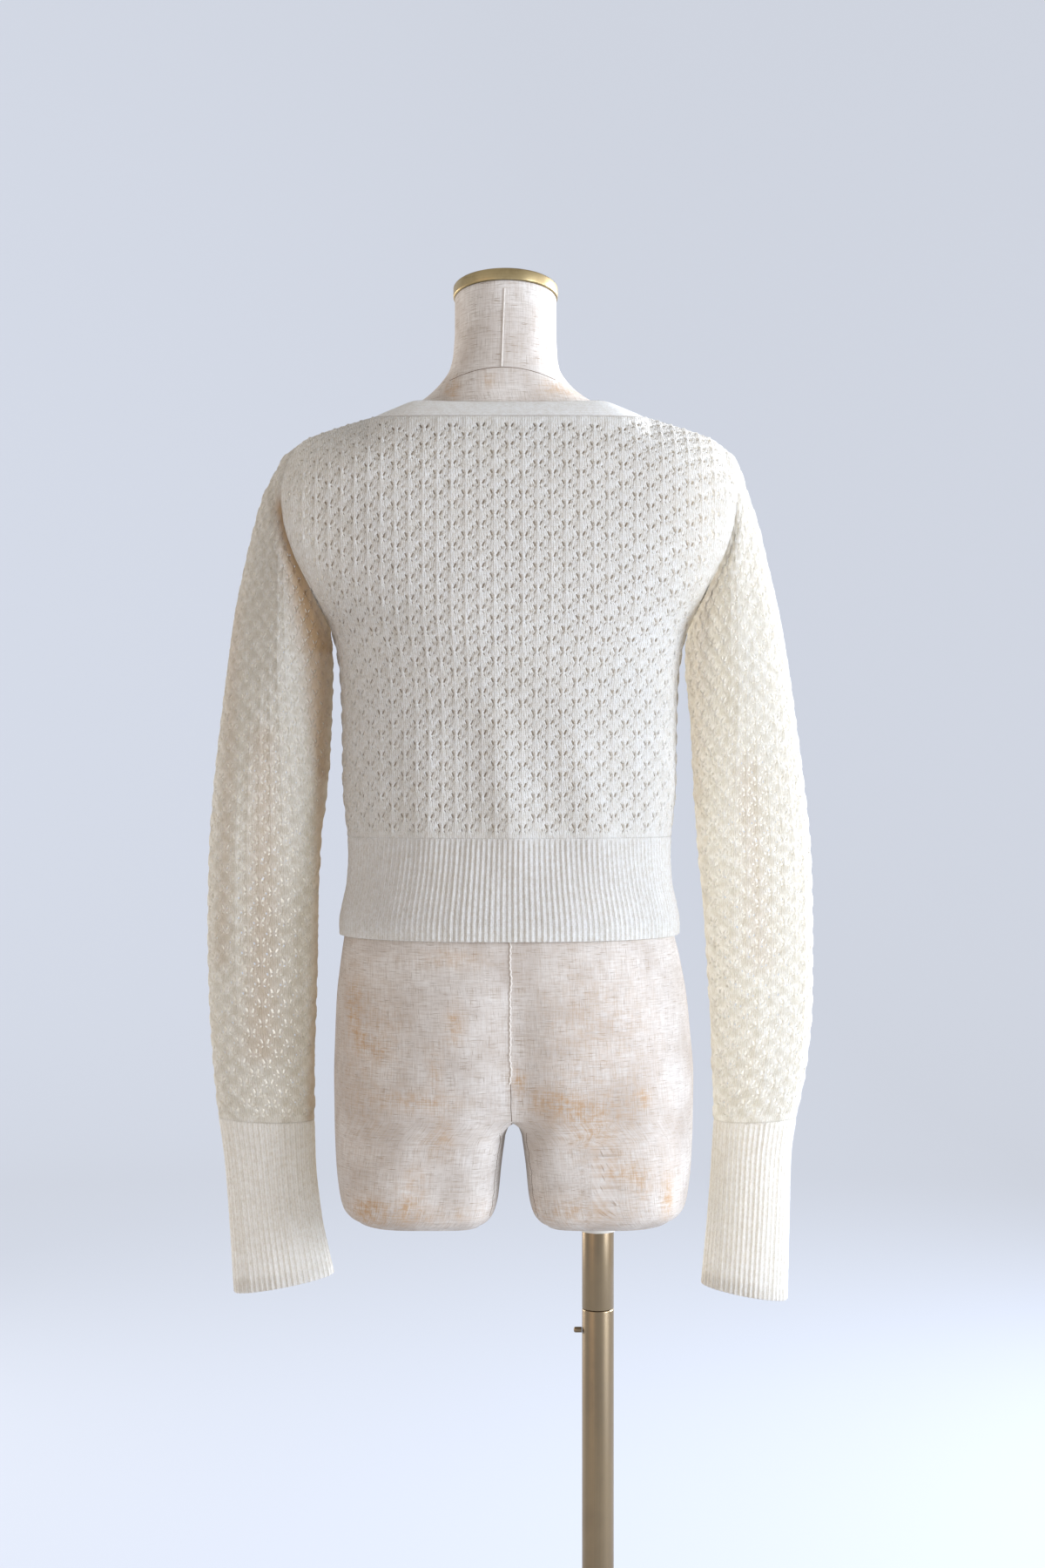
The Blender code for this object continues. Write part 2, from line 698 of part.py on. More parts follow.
def add_sleeve(side_name, material):
    """One sleeve, from the armhole to the cuff."""
    side = 1.0 if side_name == "left" else -1.0
    last = int(SLEEVES[side_name].rows[-1][0])
    grid = [[sleeve_point(side_name, place, i) for i in range(SLEEVE_SIDES)]
            for place in range(last + 1)]

    def heart(_point, row):
        outer, inner, _ = sleeve_ring(side_name, row)
        return (outer + inner) / 2

    inward = inward_normals(grid, True, heart)
    for i in range(SLEEVE_SIDES):
        face = "back" if i <= ARM_STEPS else "front"
        point, through, out = armhole_frame(abs(ARM_STEPS - i), side, face)
        grid[0][i] = point + out * HALF_GAP
        inward[0][i] = through
        centre = heart(None, last)
        inward[last][i] = (centre - grid[last][i]).normalized()
        grid[last][i].z += HALF_GAP
    add_wall("sleeve_" + side_name, grid, offset(grid, inward, WALL), True, material)


def add_cuff(side_name, material):
    """One ribbed cuff: ribs stand on the outside, the inside is plain."""
    table = CUFFS[side_name]
    outer = []
    inner = []
    for place, _ in enumerate(table.rows):
        ends = sleeve_ring(side_name, place, table)
        line = [ring_point(*ends, 2 * math.pi * i / LINE_STEPS)
                for i in range(LINE_STEPS + 1)]
        centre = (ends[0] + ends[1]) / 2
        ribbed = []
        plain = []
        for i, (point, _along) in enumerate(spaced(line, 2 * CUFF_RIBS)[:-1]):
            out = (point - centre).normalized()
            lift = RIB_RELIEF if i % 2 else -RIB_RELIEF
            point = point - Vector((0.0, 0.0, HALF_GAP if place == 0 else 0.0))
            ribbed.append(point + out * lift)
            if i % (2 * RIBS_PER_INNER) == 0:
                plain.append(point - out * WALL)
        outer.append(ribbed)
        inner.append(plain)
    add_wall("cuff_" + side_name, outer, inner, True, material)


def front_band_rows(side):
    """Seam point, direction across and inward along a front band, from the hem up."""
    hem = [HEM_BOTTOM + (HEM_TOP - HEM_BOTTOM) * part for part in reversed(HEM_ROWS[1:])]
    frames = [body_point(side * BAND_WIDTH / 2, z, "front") for z in hem]
    frames += [front_edge(z, side) for z in body_rows()]
    last = len(frames) - 1
    frames[last] = Vector((side * NECK_X, -HALF_GAP, NECK_Z))
    result = []
    for i, point in enumerate(frames):
        along = frames[min(i + 1, last)] - frames[max(i - 1, 0)]
        along.normalize()
        level = Vector((-side, 0.0, 0.0))
        below = point.z - SLOPE_REACH / 4
        a = body_point(point.x - side * SLOPE_REACH, below, "front")
        b = body_point(point.x, below, "front")
        normal = along.cross((a - b).normalized()).normalized()
        slanted = normal.cross(along).normalized()
        if slanted.x * side > 0:
            slanted.negate()
        end = Vector((-side * NECK_ACROSS_END.x, 0.0, NECK_ACROSS_END.z))
        above_v = share((point.z - V_POINT_Z) / BAND_V_BLEND)
        turn = share(1 - (last - i) / BAND_TURN_ROWS)
        across = level.lerp(slanted, above_v).lerp(end, turn).normalized()
        if i == last:
            along = Vector((0.0, 1.0, 0.0))
        inward = along.cross(across).normalized()
        if inward.dot(Vector((0.0, 1.0, -1.0))) < 0:
            inward.negate()
        result.append((point, across, inward))
    return result


def add_front_band(name, side, on_top, material):
    """Button band, or the buttonhole band that lies on it and on its front's edge."""
    outer = []
    inward = []
    rows = front_band_rows(side)
    for i, (point, across, through) in enumerate(rows):
        rise = i / (len(rows) - 1)
        free = share((rise - LAP_ENDS[0]) / (LAP_ENDS[1] - LAP_ENDS[0]))
        sink = share((rise - LIFT_ENDS[0]) / (LIFT_ENDS[1] - LIFT_ENDS[0]))
        lap = (BAND_LAP * (1 - free) - HALF_GAP * free) if on_top else -HALF_GAP
        lift = BAND_LIFT * (1 - sink) if on_top else 0.0
        width = BAND_WIDTH if on_top else BAND_WIDTH - 2 * SEAM_GAP
        seam = point - across * lap - through * lift
        edge = point + across * width - through * lift
        outer.append([seam, seam.lerp(edge, 0.5), edge])
        inward.append([through] * 3)
    add_wall(name, outer, offset(outer, inward, WALL), False, material)


def add_neck_band(material):
    """Band along the back neck, between the two shoulder seams."""
    outer = []
    inward = []
    half = neck_columns()
    for x in [-x for x in reversed(half)] + half[1:]:
        point, across, through = back_neck_frame(x)
        if abs(x) > NECK_X - 1e-6:
            point.y = HALF_GAP
        seam = point + across * HALF_GAP
        edge = point + across * BAND_WIDTH
        outer.append([seam, seam.lerp(edge, 0.5), edge])
        inward.append([through] * 3)
    add_wall("neck_band", outer, offset(outer, inward, WALL), False, material)


def add_turned(name, profile, steps, material, place=(0, 0, 0), turn=(0, 0, 0)):
    """Turn a profile of radius and height pairs, outer side top to bottom, with Screw."""
    mesh = bpy.data.meshes.new(name)
    edges = [(i, i + 1) for i in range(len(profile) - 1)]
    if profile[0][0] > 0 and profile[-1][0] > 0:
        edges.append((len(profile) - 1, 0))
    mesh.from_pydata([(r, 0.0, z) for r, z in profile], edges, [])
    thing = bpy.data.objects.new(name, mesh)
    COLLECTION.objects.link(thing)
    screw = thing.modifiers.new("Turn", "SCREW")
    screw.axis = "Z"
    screw.steps = steps
    screw.render_steps = steps
    screw.use_merge_vertices = True
    screw.merge_threshold = 0.00005
    screw.use_smooth_shade = True
    thing.data.materials.append(material)
    thing.location = place
    thing.rotation_euler = turn
    return thing


def add_buttons(material):
    """Round buttons down the middle of the buttonhole band."""
    rim = BUTTON_HEIGHT * 0.25
    well = BUTTON_HEIGHT - 2 * rim
    profile = [(0.0, well), (BUTTON_RADIUS * BUTTON_WELL, well),
               (BUTTON_RADIUS * BUTTON_CREST, BUTTON_HEIGHT),
               (BUTTON_RADIUS, BUTTON_HEIGHT - rim), (BUTTON_RADIUS, rim),
               (BUTTON_RADIUS * BUTTON_FOOT, 0.0), (0.0, 0.0)]
    rows = [point for point, _, _ in front_band_rows(-1.0)]
    for i in range(BUTTON_COUNT):
        z = BUTTON_FIRST_Z + i * BUTTON_SPACING
        low = max(k for k in range(len(rows) - 1) if rows[k].z <= z)
        run = rows[low + 1] - rows[low]
        here = rows[low] + run * ((z - rows[low].z) / run.z)
        lean = math.atan2(-run.y, run.z)
        gap = BAND_LIFT + 2 * SEAM_GAP
        place = (0.0, here.y - gap * math.cos(lean), z - gap * math.sin(lean))
        add_turned(f"button_{i + 1}", profile, 12, material, place,
                   (math.pi / 2 + lean, 0.0, 0.0))


def form_ring(table, z, tilt=0.0):
    """One level ring of the dress form."""
    half, back, front, power, centre = (table.at(z, name) for name in
                                        ("half", "back", "front", "power", "centre"))
    points = []
    for i in range(FORM_SIDES):
        turn = 2 * math.pi * i / FORM_SIDES
        c = math.cos(turn)
        s = math.sin(turn)
        x = half * math.copysign(abs(c) ** (2 / power), c)
        face = "back" if s >= 0 else "front"
        y = (back if s >= 0 else front) * abs(s) ** (2 / power)
        if table is FORM and z < NECK_Z and abs(x) < panel_edge(z + CLEARANCE):
            y = min(y, max(0.0, depth(x, z + CLEARANCE, face) - CLEARANCE))
        y *= sign_of(face)
        points.append(Vector((centre + x, y, z + tilt * y)))
    return points


def covered_ring(z):
    """Ring of the dress form under the cardigan's body, just inside the cloth."""
    points = []
    half = BODY.at(z, "half") - CLEARANCE - COVERED_MARGIN
    for i in range(FORM_SIDES):
        turn = 2 * math.pi * i / FORM_SIDES
        c = math.cos(turn)
        s = math.sin(turn)
        face = "back" if s >= 0 else "front"
        full = BODY.at(z, face) - CLEARANCE
        x = half * math.copysign(abs(c) ** (2 / SECTION_POWER), c)
        y = sign_of(face) * full * abs(s) ** (2 / SECTION_POWER)
        points.append(Vector((x, y, z)))
    return points


def add_form(material):
    """Linen body of the dress form, from the neck to the two short thigh stubs."""
    rings = []
    for z, *_ in reversed(FORM.rows):
        tilt = math.tan(CAP_TILT) * share((z - TILT_FROM_Z) / (NECK_TOP_Z - TILT_FROM_Z))
        rings.append(form_ring(FORM, z, tilt))
    rings += [covered_ring(z) for z in COVERED_Z]
    for z, *_ in reversed(FORM_BELOW.rows):
        rings.append(form_ring(FORM_BELOW, z))
    sides = FORM_SIDES
    vertices = [p for ring in rings for p in ring]
    faces = [tuple(range(sides))]
    for r in range(len(rings) - 1):
        for i in range(sides):
            j = (i + 1) % sides
            a = r * sides
            faces.append((a + i, a + j, a + sides + j, a + sides + i))
    last = (len(rings) - 1) * sides
    back = sides // 4
    front = 3 * sides // 4
    middle_x = vertices[last + back].x
    crotch = []
    for k in range(LEG_INNER_POINTS):
        t = (k + 1) / (LEG_INNER_POINTS + 1)
        y = vertices[last + front].y + (vertices[last + back].y - vertices[last + front].y) * t
        crotch.append(len(vertices))
        vertices.append(Vector((middle_x, y, CROTCH_Z + CROTCH_RISE * (2 * t - 1) ** 2)))
    for side in (1, -1):
        if side > 0:
            half_ring = [last + (back - i) % sides for i in range(sides // 2 + 1)]
        else:
            half_ring = [last + (back + i) % sides for i in range(sides // 2 + 1)]
        above = half_ring + crotch
        outer_steps = sides // 2
        inner_steps = LEG_INNER_POINTS + 1
        turns = [LEG_OUTER_TURN / 2 - LEG_OUTER_TURN * i / outer_steps
                 for i in range(outer_steps + 1)]
        rest = 2 * math.pi - LEG_OUTER_TURN
        turns += [-LEG_OUTER_TURN / 2 - rest * i / inner_steps for i in range(1, inner_steps)]
        for z, *_ in reversed(THIGH.rows):
            inner, outer, deep, fore = (THIGH.at(z, name) for name in (
                "inner", "outer", "back", "front"))
            ring = []
            for turn in turns:
                c = math.cos(turn)
                s = math.sin(turn)
                power = THIGH_OUTER_POWER if c > 0 else THIGH_INNER_POWER
                x = (inner + outer) / 2 + (outer - inner) / 2 * math.copysign(
                    abs(c) ** (2 / power), c)
                y = (deep if s >= 0 else -fore) * abs(s) ** (2 / power)
                ring.append(len(vertices))
                vertices.append(Vector((middle_x + side * x, y, z)))
            count = len(above)
            for i in range(count):
                j = (i + 1) % count
                faces.append((above[i], above[j], ring[j], ring[i]))
            above = ring
        foot = []
        centre = Vector((middle_x + side * FOOT_X, FOOT_Y, FORM_BOTTOM_Z))
        for index in above:
            foot.append(len(vertices))
            vertices.append(centre.lerp(vertices[index], FOOT_SHARE))
            vertices[-1].z = FORM_BOTTOM_Z
        for i in range(len(above)):
            j = (i + 1) % len(above)
            faces.append((above[i], above[j], foot[j], foot[i]))
        faces.append(tuple(foot))
    add_object("form_body", vertices, faces, material)


def add_stand(brass, antique, plastic, iron):
    """Neck cap, collar, two-part pole with its lock pin, socket and base plate."""
    soft = SOFT_EDGE
    cap = [(0.0, CAP_HEIGHT + 0.0015), (CAP_RADIUS * 0.6, CAP_HEIGHT + 0.0011),
           (CAP_RADIUS - soft, CAP_HEIGHT), (CAP_RADIUS, CAP_HEIGHT - soft),
           (CAP_RADIUS, soft / 2), (CAP_RADIUS - soft / 2, 0.0), (0.0, 0.0)]
    add_turned("neck_cap", cap, 32, brass, (NECK_CENTRE_X, 0.0, CAP_BASE_Z),
               (CAP_TILT, 0.0, 0.0))
    bore = POLE_RADIUS + SEAM_GAP
    top = FORM_BOTTOM_Z - SEAM_GAP
    collar = [(bore, top), (COLLAR_RADIUS, top), (COLLAR_RADIUS, top - COLLAR_HEIGHT),
              (bore, top - COLLAR_HEIGHT)]
    add_turned("pole_collar", collar, 24, plastic, (POLE_X, 0.0, 0.0))
    upper = [(0.0, top), (POLE_RADIUS, top), (POLE_RADIUS, POLE_JOINT_Z), (0.0, POLE_JOINT_Z)]
    add_turned("pole_upper", upper, 24, antique, (POLE_X, 0.0, 0.0))
    foot = BASE_HEIGHT + SEAM_GAP
    lower = [(0.0, POLE_JOINT_Z - SEAM_GAP), (POLE_RADIUS - soft / 2, POLE_JOINT_Z - SEAM_GAP),
             (POLE_RADIUS, POLE_JOINT_Z - SEAM_GAP - soft / 2), (POLE_RADIUS, foot), (0.0, foot)]
    add_turned("pole_lower", lower, 24, antique, (POLE_X, 0.0, 0.0))
    pin = [(0.0, PIN_LENGTH), (PIN_RADIUS * 0.7, PIN_LENGTH), (PIN_RADIUS, PIN_LENGTH - 0.001),
           (PIN_RADIUS, 0.0), (0.0, 0.0)]
    add_turned("pole_pin", pin, 12, antique, (POLE_X + POLE_RADIUS + SEAM_GAP, 0.0, PIN_Z),
               (0.0, math.pi / 2, 0.0))
    socket = [(bore, foot + SOCKET_HEIGHT), (SOCKET_RADIUS - soft, foot + SOCKET_HEIGHT),
              (SOCKET_RADIUS, foot + SOCKET_HEIGHT - soft), (SOCKET_RADIUS, foot), (bore, foot)]
    add_turned("base_socket", socket, 24, iron, (POLE_X, 0.0, 0.0))
    edge = PLATE_EDGE
    plate = [(0.0, BASE_HEIGHT), (BASE_RADIUS - edge, BASE_HEIGHT),
             (BASE_RADIUS - edge * 0.3, BASE_HEIGHT - edge * 0.3),
             (BASE_RADIUS, BASE_HEIGHT - edge), (BASE_RADIUS, 0.0), (0.0, 0.0)]
    add_turned("base_plate", plate, 56, iron)


def make_material(name, colour, roughness, metallic=0.0):
    """Plain surface with a colour, roughness and metallic value."""
    material = bpy.data.materials.new(name)
    material.use_nodes = True
    surface = material.node_tree.nodes["Principled BSDF"]
    surface.inputs["Base Color"].default_value = (*colour, 1.0)
    surface.inputs["Roughness"].default_value = roughness
    surface.inputs["Metallic"].default_value = metallic
    return material


for old in list(bpy.data.objects):
    bpy.data.objects.remove(old, do_unlink=True)

COLLECTION = bpy.data.collections.new("cardigan_on_form")
bpy.context.scene.collection.children.link(COLLECTION)

LACE = make_material("lace knit", (0.78, 0.76, 0.72), 0.9)
RIB = make_material("rib knit", (0.76, 0.74, 0.70), 0.9)
BAND = make_material("band knit", (0.77, 0.75, 0.71), 0.9)
SHELL_BUTTON = make_material("shell button", (0.74, 0.70, 0.62), 0.35)
LINEN = make_material("natural linen", (0.62, 0.56, 0.48), 0.85)
BRASS = make_material("brushed brass", (0.55, 0.42, 0.18), 0.35, 1.0)
ANTIQUE = make_material("antique brass", (0.36, 0.26, 0.14), 0.4, 1.0)
PLASTIC = make_material("off-white plastic", (0.75, 0.73, 0.68), 0.5)
IRON = make_material("painted iron", (0.05, 0.05, 0.05), 0.6, 0.0)

add_panels(LACE)
add_hems(RIB)
for sleeve_side in ("left", "right"):
    add_sleeve(sleeve_side, LACE)
    add_cuff(sleeve_side, RIB)
add_front_band("band_left", 1.0, False, BAND)
add_front_band("band_right", -1.0, True, BAND)
add_neck_band(BAND)
add_buttons(SHELL_BUTTON)
add_form(LINEN)
add_stand(BRASS, ANTIQUE, PLASTIC, IRON)
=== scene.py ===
"""Looks of a lace-knit cardigan on its linen dress form, in metres, +Z up.

Every knitted piece is a thin shell worked out from the garment's heights, widths and
depths. The lace has real holes, the ribs are real ridges, and single stitches are bump.
"""

import json
import math
from functools import partial

import bmesh
import bpy
import numpy as np
from mathutils import Matrix, Vector
from mathutils.bvhtree import BVHTree

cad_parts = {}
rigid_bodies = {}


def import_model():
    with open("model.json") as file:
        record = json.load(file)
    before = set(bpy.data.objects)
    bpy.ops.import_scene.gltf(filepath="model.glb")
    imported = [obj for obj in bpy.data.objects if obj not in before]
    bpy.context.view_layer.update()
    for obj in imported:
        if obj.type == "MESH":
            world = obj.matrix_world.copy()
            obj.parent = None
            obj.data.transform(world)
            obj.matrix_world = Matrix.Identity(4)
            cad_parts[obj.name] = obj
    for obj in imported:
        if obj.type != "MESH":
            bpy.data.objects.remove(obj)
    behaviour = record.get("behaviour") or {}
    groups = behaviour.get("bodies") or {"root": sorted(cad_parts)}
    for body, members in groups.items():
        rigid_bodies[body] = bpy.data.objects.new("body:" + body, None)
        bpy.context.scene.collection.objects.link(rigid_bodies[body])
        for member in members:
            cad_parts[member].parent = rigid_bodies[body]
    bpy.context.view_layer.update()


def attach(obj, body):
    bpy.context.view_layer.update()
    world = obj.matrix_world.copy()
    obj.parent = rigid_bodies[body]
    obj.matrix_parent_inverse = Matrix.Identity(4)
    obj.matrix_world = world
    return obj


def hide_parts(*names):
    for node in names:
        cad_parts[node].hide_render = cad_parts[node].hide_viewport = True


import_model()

SIDES = {"left": 1.0, "right": -1.0}

# Heights and widths of the worn cardigan
HEM_BOTTOM = 0.9170
HEM_TOP = 1.0040
ARMPIT_Z = 1.1880
TIP_Z = 1.3470
NECK_Z = 1.3722
NECK_X = 0.1202
V_POINT_Z = 1.2120
V_CURVE = 1.12
BACK_NECK_Y = 0.0745
BACK_NECK_SLOPE = 0.137
FRONT_NECK_SLOPE = 0.20
NECK_POWER = 3.0
SHOULDER_ROUND = 0.055
SECTION_POWER = 2.3
ARM_MIDDLE_Z = (ARMPIT_Z + TIP_Z) / 2
ARM_HALF = (TIP_Z - ARMPIT_Z) / 2
ARM_STEPS = 12
BODY_STEPS = 5
HEM_STEPS = 3
SEAM_KEEP_RINGS = 7.5
HEART_TOP_Z = 1.28
CUFF_RIBS = 46
CLEARANCE = 0.0031
ARM_FILL = 0.0065
ARM_FILL_WIDE = 0.026
SEAM_GAP = 0.0003
HALF_GAP = SEAM_GAP / 2

# Bands and buttons
BAND_WIDTH = 0.025
BAND_LIFT = 0.0031
BAND_LAP = 0.003
BAND_THICK = 0.0021
BAND_CROWN = 0.00035
BAND_V_BLEND = 0.03
BAND_TURN_ROWS = 3
LAP_ENDS = (0.66, 0.78)
LIFT_ENDS = (0.80, 0.92)
SLOPE_REACH = 0.004
NECK_ACROSS_BACK = (0.0, -0.775, 0.632)
NECK_ACROSS_END = (0.93, 0.0, 0.37)
BUTTON_RADIUS = 0.0065
BUTTON_HEIGHT = 0.0030
BUTTON_COUNT = 7
BUTTON_FIRST_Z = 0.935
BUTTON_SPACING = 0.0433

# Meshes: points nearer than this are one, smaller squares are left out, and edges
# sharper than these angles are bevelled or stay sharp
WELD = 0.00001
LEAST_AREA = 1e-8
EDGE_ANGLE = math.radians(40)
SMOOTH_ANGLE = math.radians(35)
BEHIND_FORM_Y = 0.4

# Lace: one repeat holds two motifs, half a repeat apart both ways
LACE_COLUMNS = 12
LACE_ROWS = 10
WALE = 0.00190
COURSE = 0.00176
REPEAT_WIDE = LACE_COLUMNS * WALE
REPEAT_HIGH = LACE_ROWS * COURSE
BACK_REPEATS = 17
EDGE_PLAIN = 0.0030
YARN = 0.0010
LACE_UNEVEN_MM = 0.09
LACE_JITTER = 0.00010
MOTIF_ROWS_BELOW = 6
SLEEVE_STRETCH_MM = 0.55

# Ribs
RIB_PITCH = 0.0044
RIB_HEIGHT = 0.0012
RIB_POINTS = 8
RIB_COURSE = 0.0019
RIB_FADE = 0.003
RIB_EDGE = 0.0028
RIB_FOLD = 0.0009
RIB_FOLD_ROWS = 6
RIB_MEAN = 0.62
RIB_UNEVEN = 0.12
RIB_JITTER = 0.00007

# How finely each surface is worked out before its stitches are read from it
PANEL_ROWS = 130
PANEL_TURN_ROWS = 60
BACK_POINTS = 221
FRONT_POINTS = 161
SLEEVE_RINGS = 261
SLEEVE_POINTS = 257
RIB_ROWS = 40
RIB_SURFACE_POINTS = 321
HEM_FRONT_POINTS = 201
CUFF_RINGS = 80
BAND_POINTS = 161

# Dress form and stand
FORM_SIDES = 256
SHOULDER_ROWS_Z = 1.345
COVERED_Z = (1.17, 0.925)
LEG_RINGS = 34
CROTCH_RINGS = 9
FOOT_SHARES = (0.985, 0.95, 0.85, 0.65, 0.4, 0.15)
FOOT_FLAT = 0.0008
LEG_OUTER_TURN = math.radians(264)
LEG_INNER_POINTS = 47
THIGH_OUTER_POWER = 2.5
THIGH_INNER_POWER = 6.0
CROTCH_Z = 0.761
CROTCH_RISE = 0.004
CROTCH_REACH = 0.03
COVERED_MARGIN = 0.0012
TILT_FROM_Z = 1.41
NECK_TOP_Z = 1.4765
CAP_TILT = math.radians(9.5)
CAP_RADIUS = 0.0460
CAP_HEIGHT = 0.0106
CAP_BASE_Z = 1.4771
NECK_CENTRE_X = 0.0035
FORM_BOTTOM_Z = 0.6725
FOOT_X = 0.082
FOOT_Y = 0.009
POLE_X = -0.078
POLE_RADIUS = 0.0140
POLE_JOINT_Z = 0.5885
COLLAR_RADIUS = 0.0170
COLLAR_HEIGHT = 0.0156
COLLAR_STEP = 0.0062
PIN_Z = 0.5690
PIN_RADIUS = 0.0025
PIN_LENGTH = 0.0070
SOCKET_RADIUS = 0.0210
SOCKET_HEIGHT = 0.0300
BASE_RADIUS = 0.1800
BASE_HEIGHT = 0.0080

# Seat of the form: a soft hollow between two full sides
SEAT_X = -0.0038
SEAT_TOP = 0.930
SEAT_FULL = 0.830
SEAT_END = 0.740
SEAT_LOBE = 0.0025
SEAT_LOBE_X = 0.062
SEAT_LOBE_WIDE = 0.045
SEAT_HOLLOW = 0.0085
SEAT_HOLLOW_WIDE = 0.024
SEAT_STEP = 0.012
SEAT_EASE = 0.045
SEAT_DEEP = 0.06
THIGH_TOP = 0.749
TORSO_LOW = 0.767
SEAM_X = -0.0020
STAIN_AND_SHADE_DEPTH = 1.1
STAIN_AND_SHADE_SPREAD = 1.7
LINEN_PITCH = 0.00085
NECK_SEAM_Z = (1.477, 1.409)
BACK_SEAM_Z = (0.925, 0.800)
LOW_SEAM_Z = (0.800, 0.764)
THIGH_SEAM_Z = (0.757, 0.684)
THIGH_SEAM_IN = 0.0042
PIPING_RADIUS = 0.0008
SEAM_RADIUS = 0.00030
SEAM_PROUD = 0.0001

# Button holes, band stitches and the studio's floor
BUTTON_HOLE = 0.0007
BUTTON_HOLE_AWAY = 0.0018
STITCH_RADIUS = 0.00045
BAND_WALE = 0.0021
FLOOR_RADIUS = 4.0
FLOOR_SWEEP = 1.2
FLOOR_WALL = 3.5

# Photo: the camera's place and lens
LENS_MM = 50
SENSOR_MM = 36
CAMERA_PLACE = (-0.0115, 1.92, 1.05)


class Table:
    """Rows of named columns, read between rows along a smooth curve."""

    def __init__(self, columns, rows):
        self.columns = columns.split()
        self.rows = np.array(sorted(rows), float)

    def at(self, key, column):
        """Values of a column where the first column equals key."""
        keys = self.rows[:, 0]
        values = self.rows[:, self.columns.index(column)]
        steps = np.diff(values) / np.diff(keys)
        same_way = steps[:-1] * steps[1:] > 0
        total = np.where(same_way, steps[:-1] + steps[1:], 1.0)
        slopes = np.concatenate([
            steps[:1], np.where(same_way, 2 * steps[:-1] * steps[1:] / total, 0.0), steps[-1:]])
        key = np.clip(key, keys[0], keys[-1])
        low = np.clip(np.searchsorted(keys, key, side="right") - 1, 0, len(keys) - 2)
        span = keys[low + 1] - keys[low]
        t = (key - keys[low]) / span
        return (values[low] * (1 + 2 * t) * (1 - t) ** 2
                + values[low + 1] * t * t * (3 - 2 * t)
                + span * (slopes[low] * t * (1 - t) ** 2 - slopes[low + 1] * t * t * (1 - t)))

    def row(self, key, columns):
        """Values of several columns where the first column equals key."""
        return [float(self.at(key, column)) for column in columns.split()]


# Outside of the cardigan's body: half width of the closed section, which the armholes
# cut above the armpits, and depth at the middle of the back and of the front.
BODY = Table("z half back front", [
    (0.917, 0.1488, 0.1180, 0.1060),
    (0.930, 0.1490, 0.1170, 0.1060),
    (0.945, 0.1465, 0.1140, 0.1050),
    (0.965, 0.1425, 0.1080, 0.1030),
    (0.988, 0.1412, 0.1005, 0.1015),
    (1.010, 0.1425, 0.0945, 0.1010),
    (1.050, 0.1462, 0.0880, 0.1020),
    (1.100, 0.1468, 0.0870, 0.1090),
    (1.142, 0.1485, 0.0895, 0.1175),
    (1.165, 0.1515, 0.0915, 0.1212),
    (1.188, 0.1580, 0.0932, 0.1220),
    (1.220, 0.1830, 0.0945, 0.1180),
    (1.260, 0.2080, 0.0945, 0.1060),
    (1.300, 0.2165, 0.0920, 0.0910),
    (1.330, 0.2130, 0.0870, 0.0770),
    (1.347, 0.2050, 0.0815, 0.0700),
    (1.362, 0.1900, 0.0745, 0.0640),
    (1.375, 0.1700, 0.0680, 0.0590),
])

# Armhole seam seen from behind.
ARMHOLE = Table("z x", [
    (1.188, 0.1580),
    (1.200, 0.1630),
    (1.220, 0.1722),
    (1.250, 0.1862),
    (1.280, 0.1945),
    (1.300, 0.1960),
    (1.320, 0.1940),
    (1.347, 0.1870),
])

# Height of the shoulder seam along its width.
SHOULDER = Table("x z", [
    (0.1202, 1.3722),
    (0.1300, 1.3695),
    (0.1500, 1.3633),
    (0.1680, 1.3575),
    (0.1800, 1.3523),
    (0.1870, 1.3470),
])

# Sleeves: heights of the outer and the inner line of each ring, then for the left and for
# the right sleeve the widths of both lines and the half depth.
SLEEVE_ROWS = [
    (0, 1.347, 1.188, 0.1870, 0.1580, 0.0500, 0.1870, 0.1580, 0.0500),
    (1, 1.338, 1.179, 0.1975, 0.1573, 0.0505, 0.1965, 0.1568, 0.0505),
    (2, 1.325, 1.170, 0.2050, 0.1568, 0.0510, 0.2030, 0.1560, 0.0510),
    (3, 1.305, 1.158, 0.2155, 0.1563, 0.0515, 0.2095, 0.1555, 0.0515),
    (4, 1.280, 1.143, 0.2232, 0.1560, 0.0510, 0.2180, 0.1560, 0.0510),
    (5, 1.245, 1.124, 0.2318, 0.1562, 0.0495, 0.2265, 0.1578, 0.0495),
    (6, 1.200, 1.095, 0.2412, 0.1572, 0.0460, 0.2370, 0.1602, 0.0460),
    (7, 1.150, 1.065, 0.2482, 0.1592, 0.0425, 0.2457, 0.1618, 0.0425),
    (8, 1.100, 1.032, 0.2545, 0.1625, 0.0395, 0.2527, 0.1635, 0.0395),
    (9, 1.050, 1.000, 0.2600, 0.1665, 0.0375, 0.2592, 0.1658, 0.0375),
    (10, 0.985, 0.955, 0.2645, 0.1684, 0.0365, 0.2655, 0.1698, 0.0365),
    (11, 0.920, 0.900, 0.2655, 0.1692, 0.0355, 0.2669, 0.1740, 0.0355),
    (12, 0.860, 0.848, 0.2642, 0.1710, 0.0345, 0.2666, 0.1770, 0.0345),
    (13, 0.805, 0.800, 0.2608, 0.1720, 0.0330, 0.2618, 0.1788, 0.0330),
    (14, 0.757, 0.7545, 0.2560, 0.1723, 0.0310, 0.2525, 0.1804, 0.0305),
]
SLEEVES = {
    name: Table("ring out_z in_z out_x in_x depth",
                [row[:3] + row[first:first + 3] for row in SLEEVE_ROWS])
    for name, first in (("left", 3), ("right", 6))}

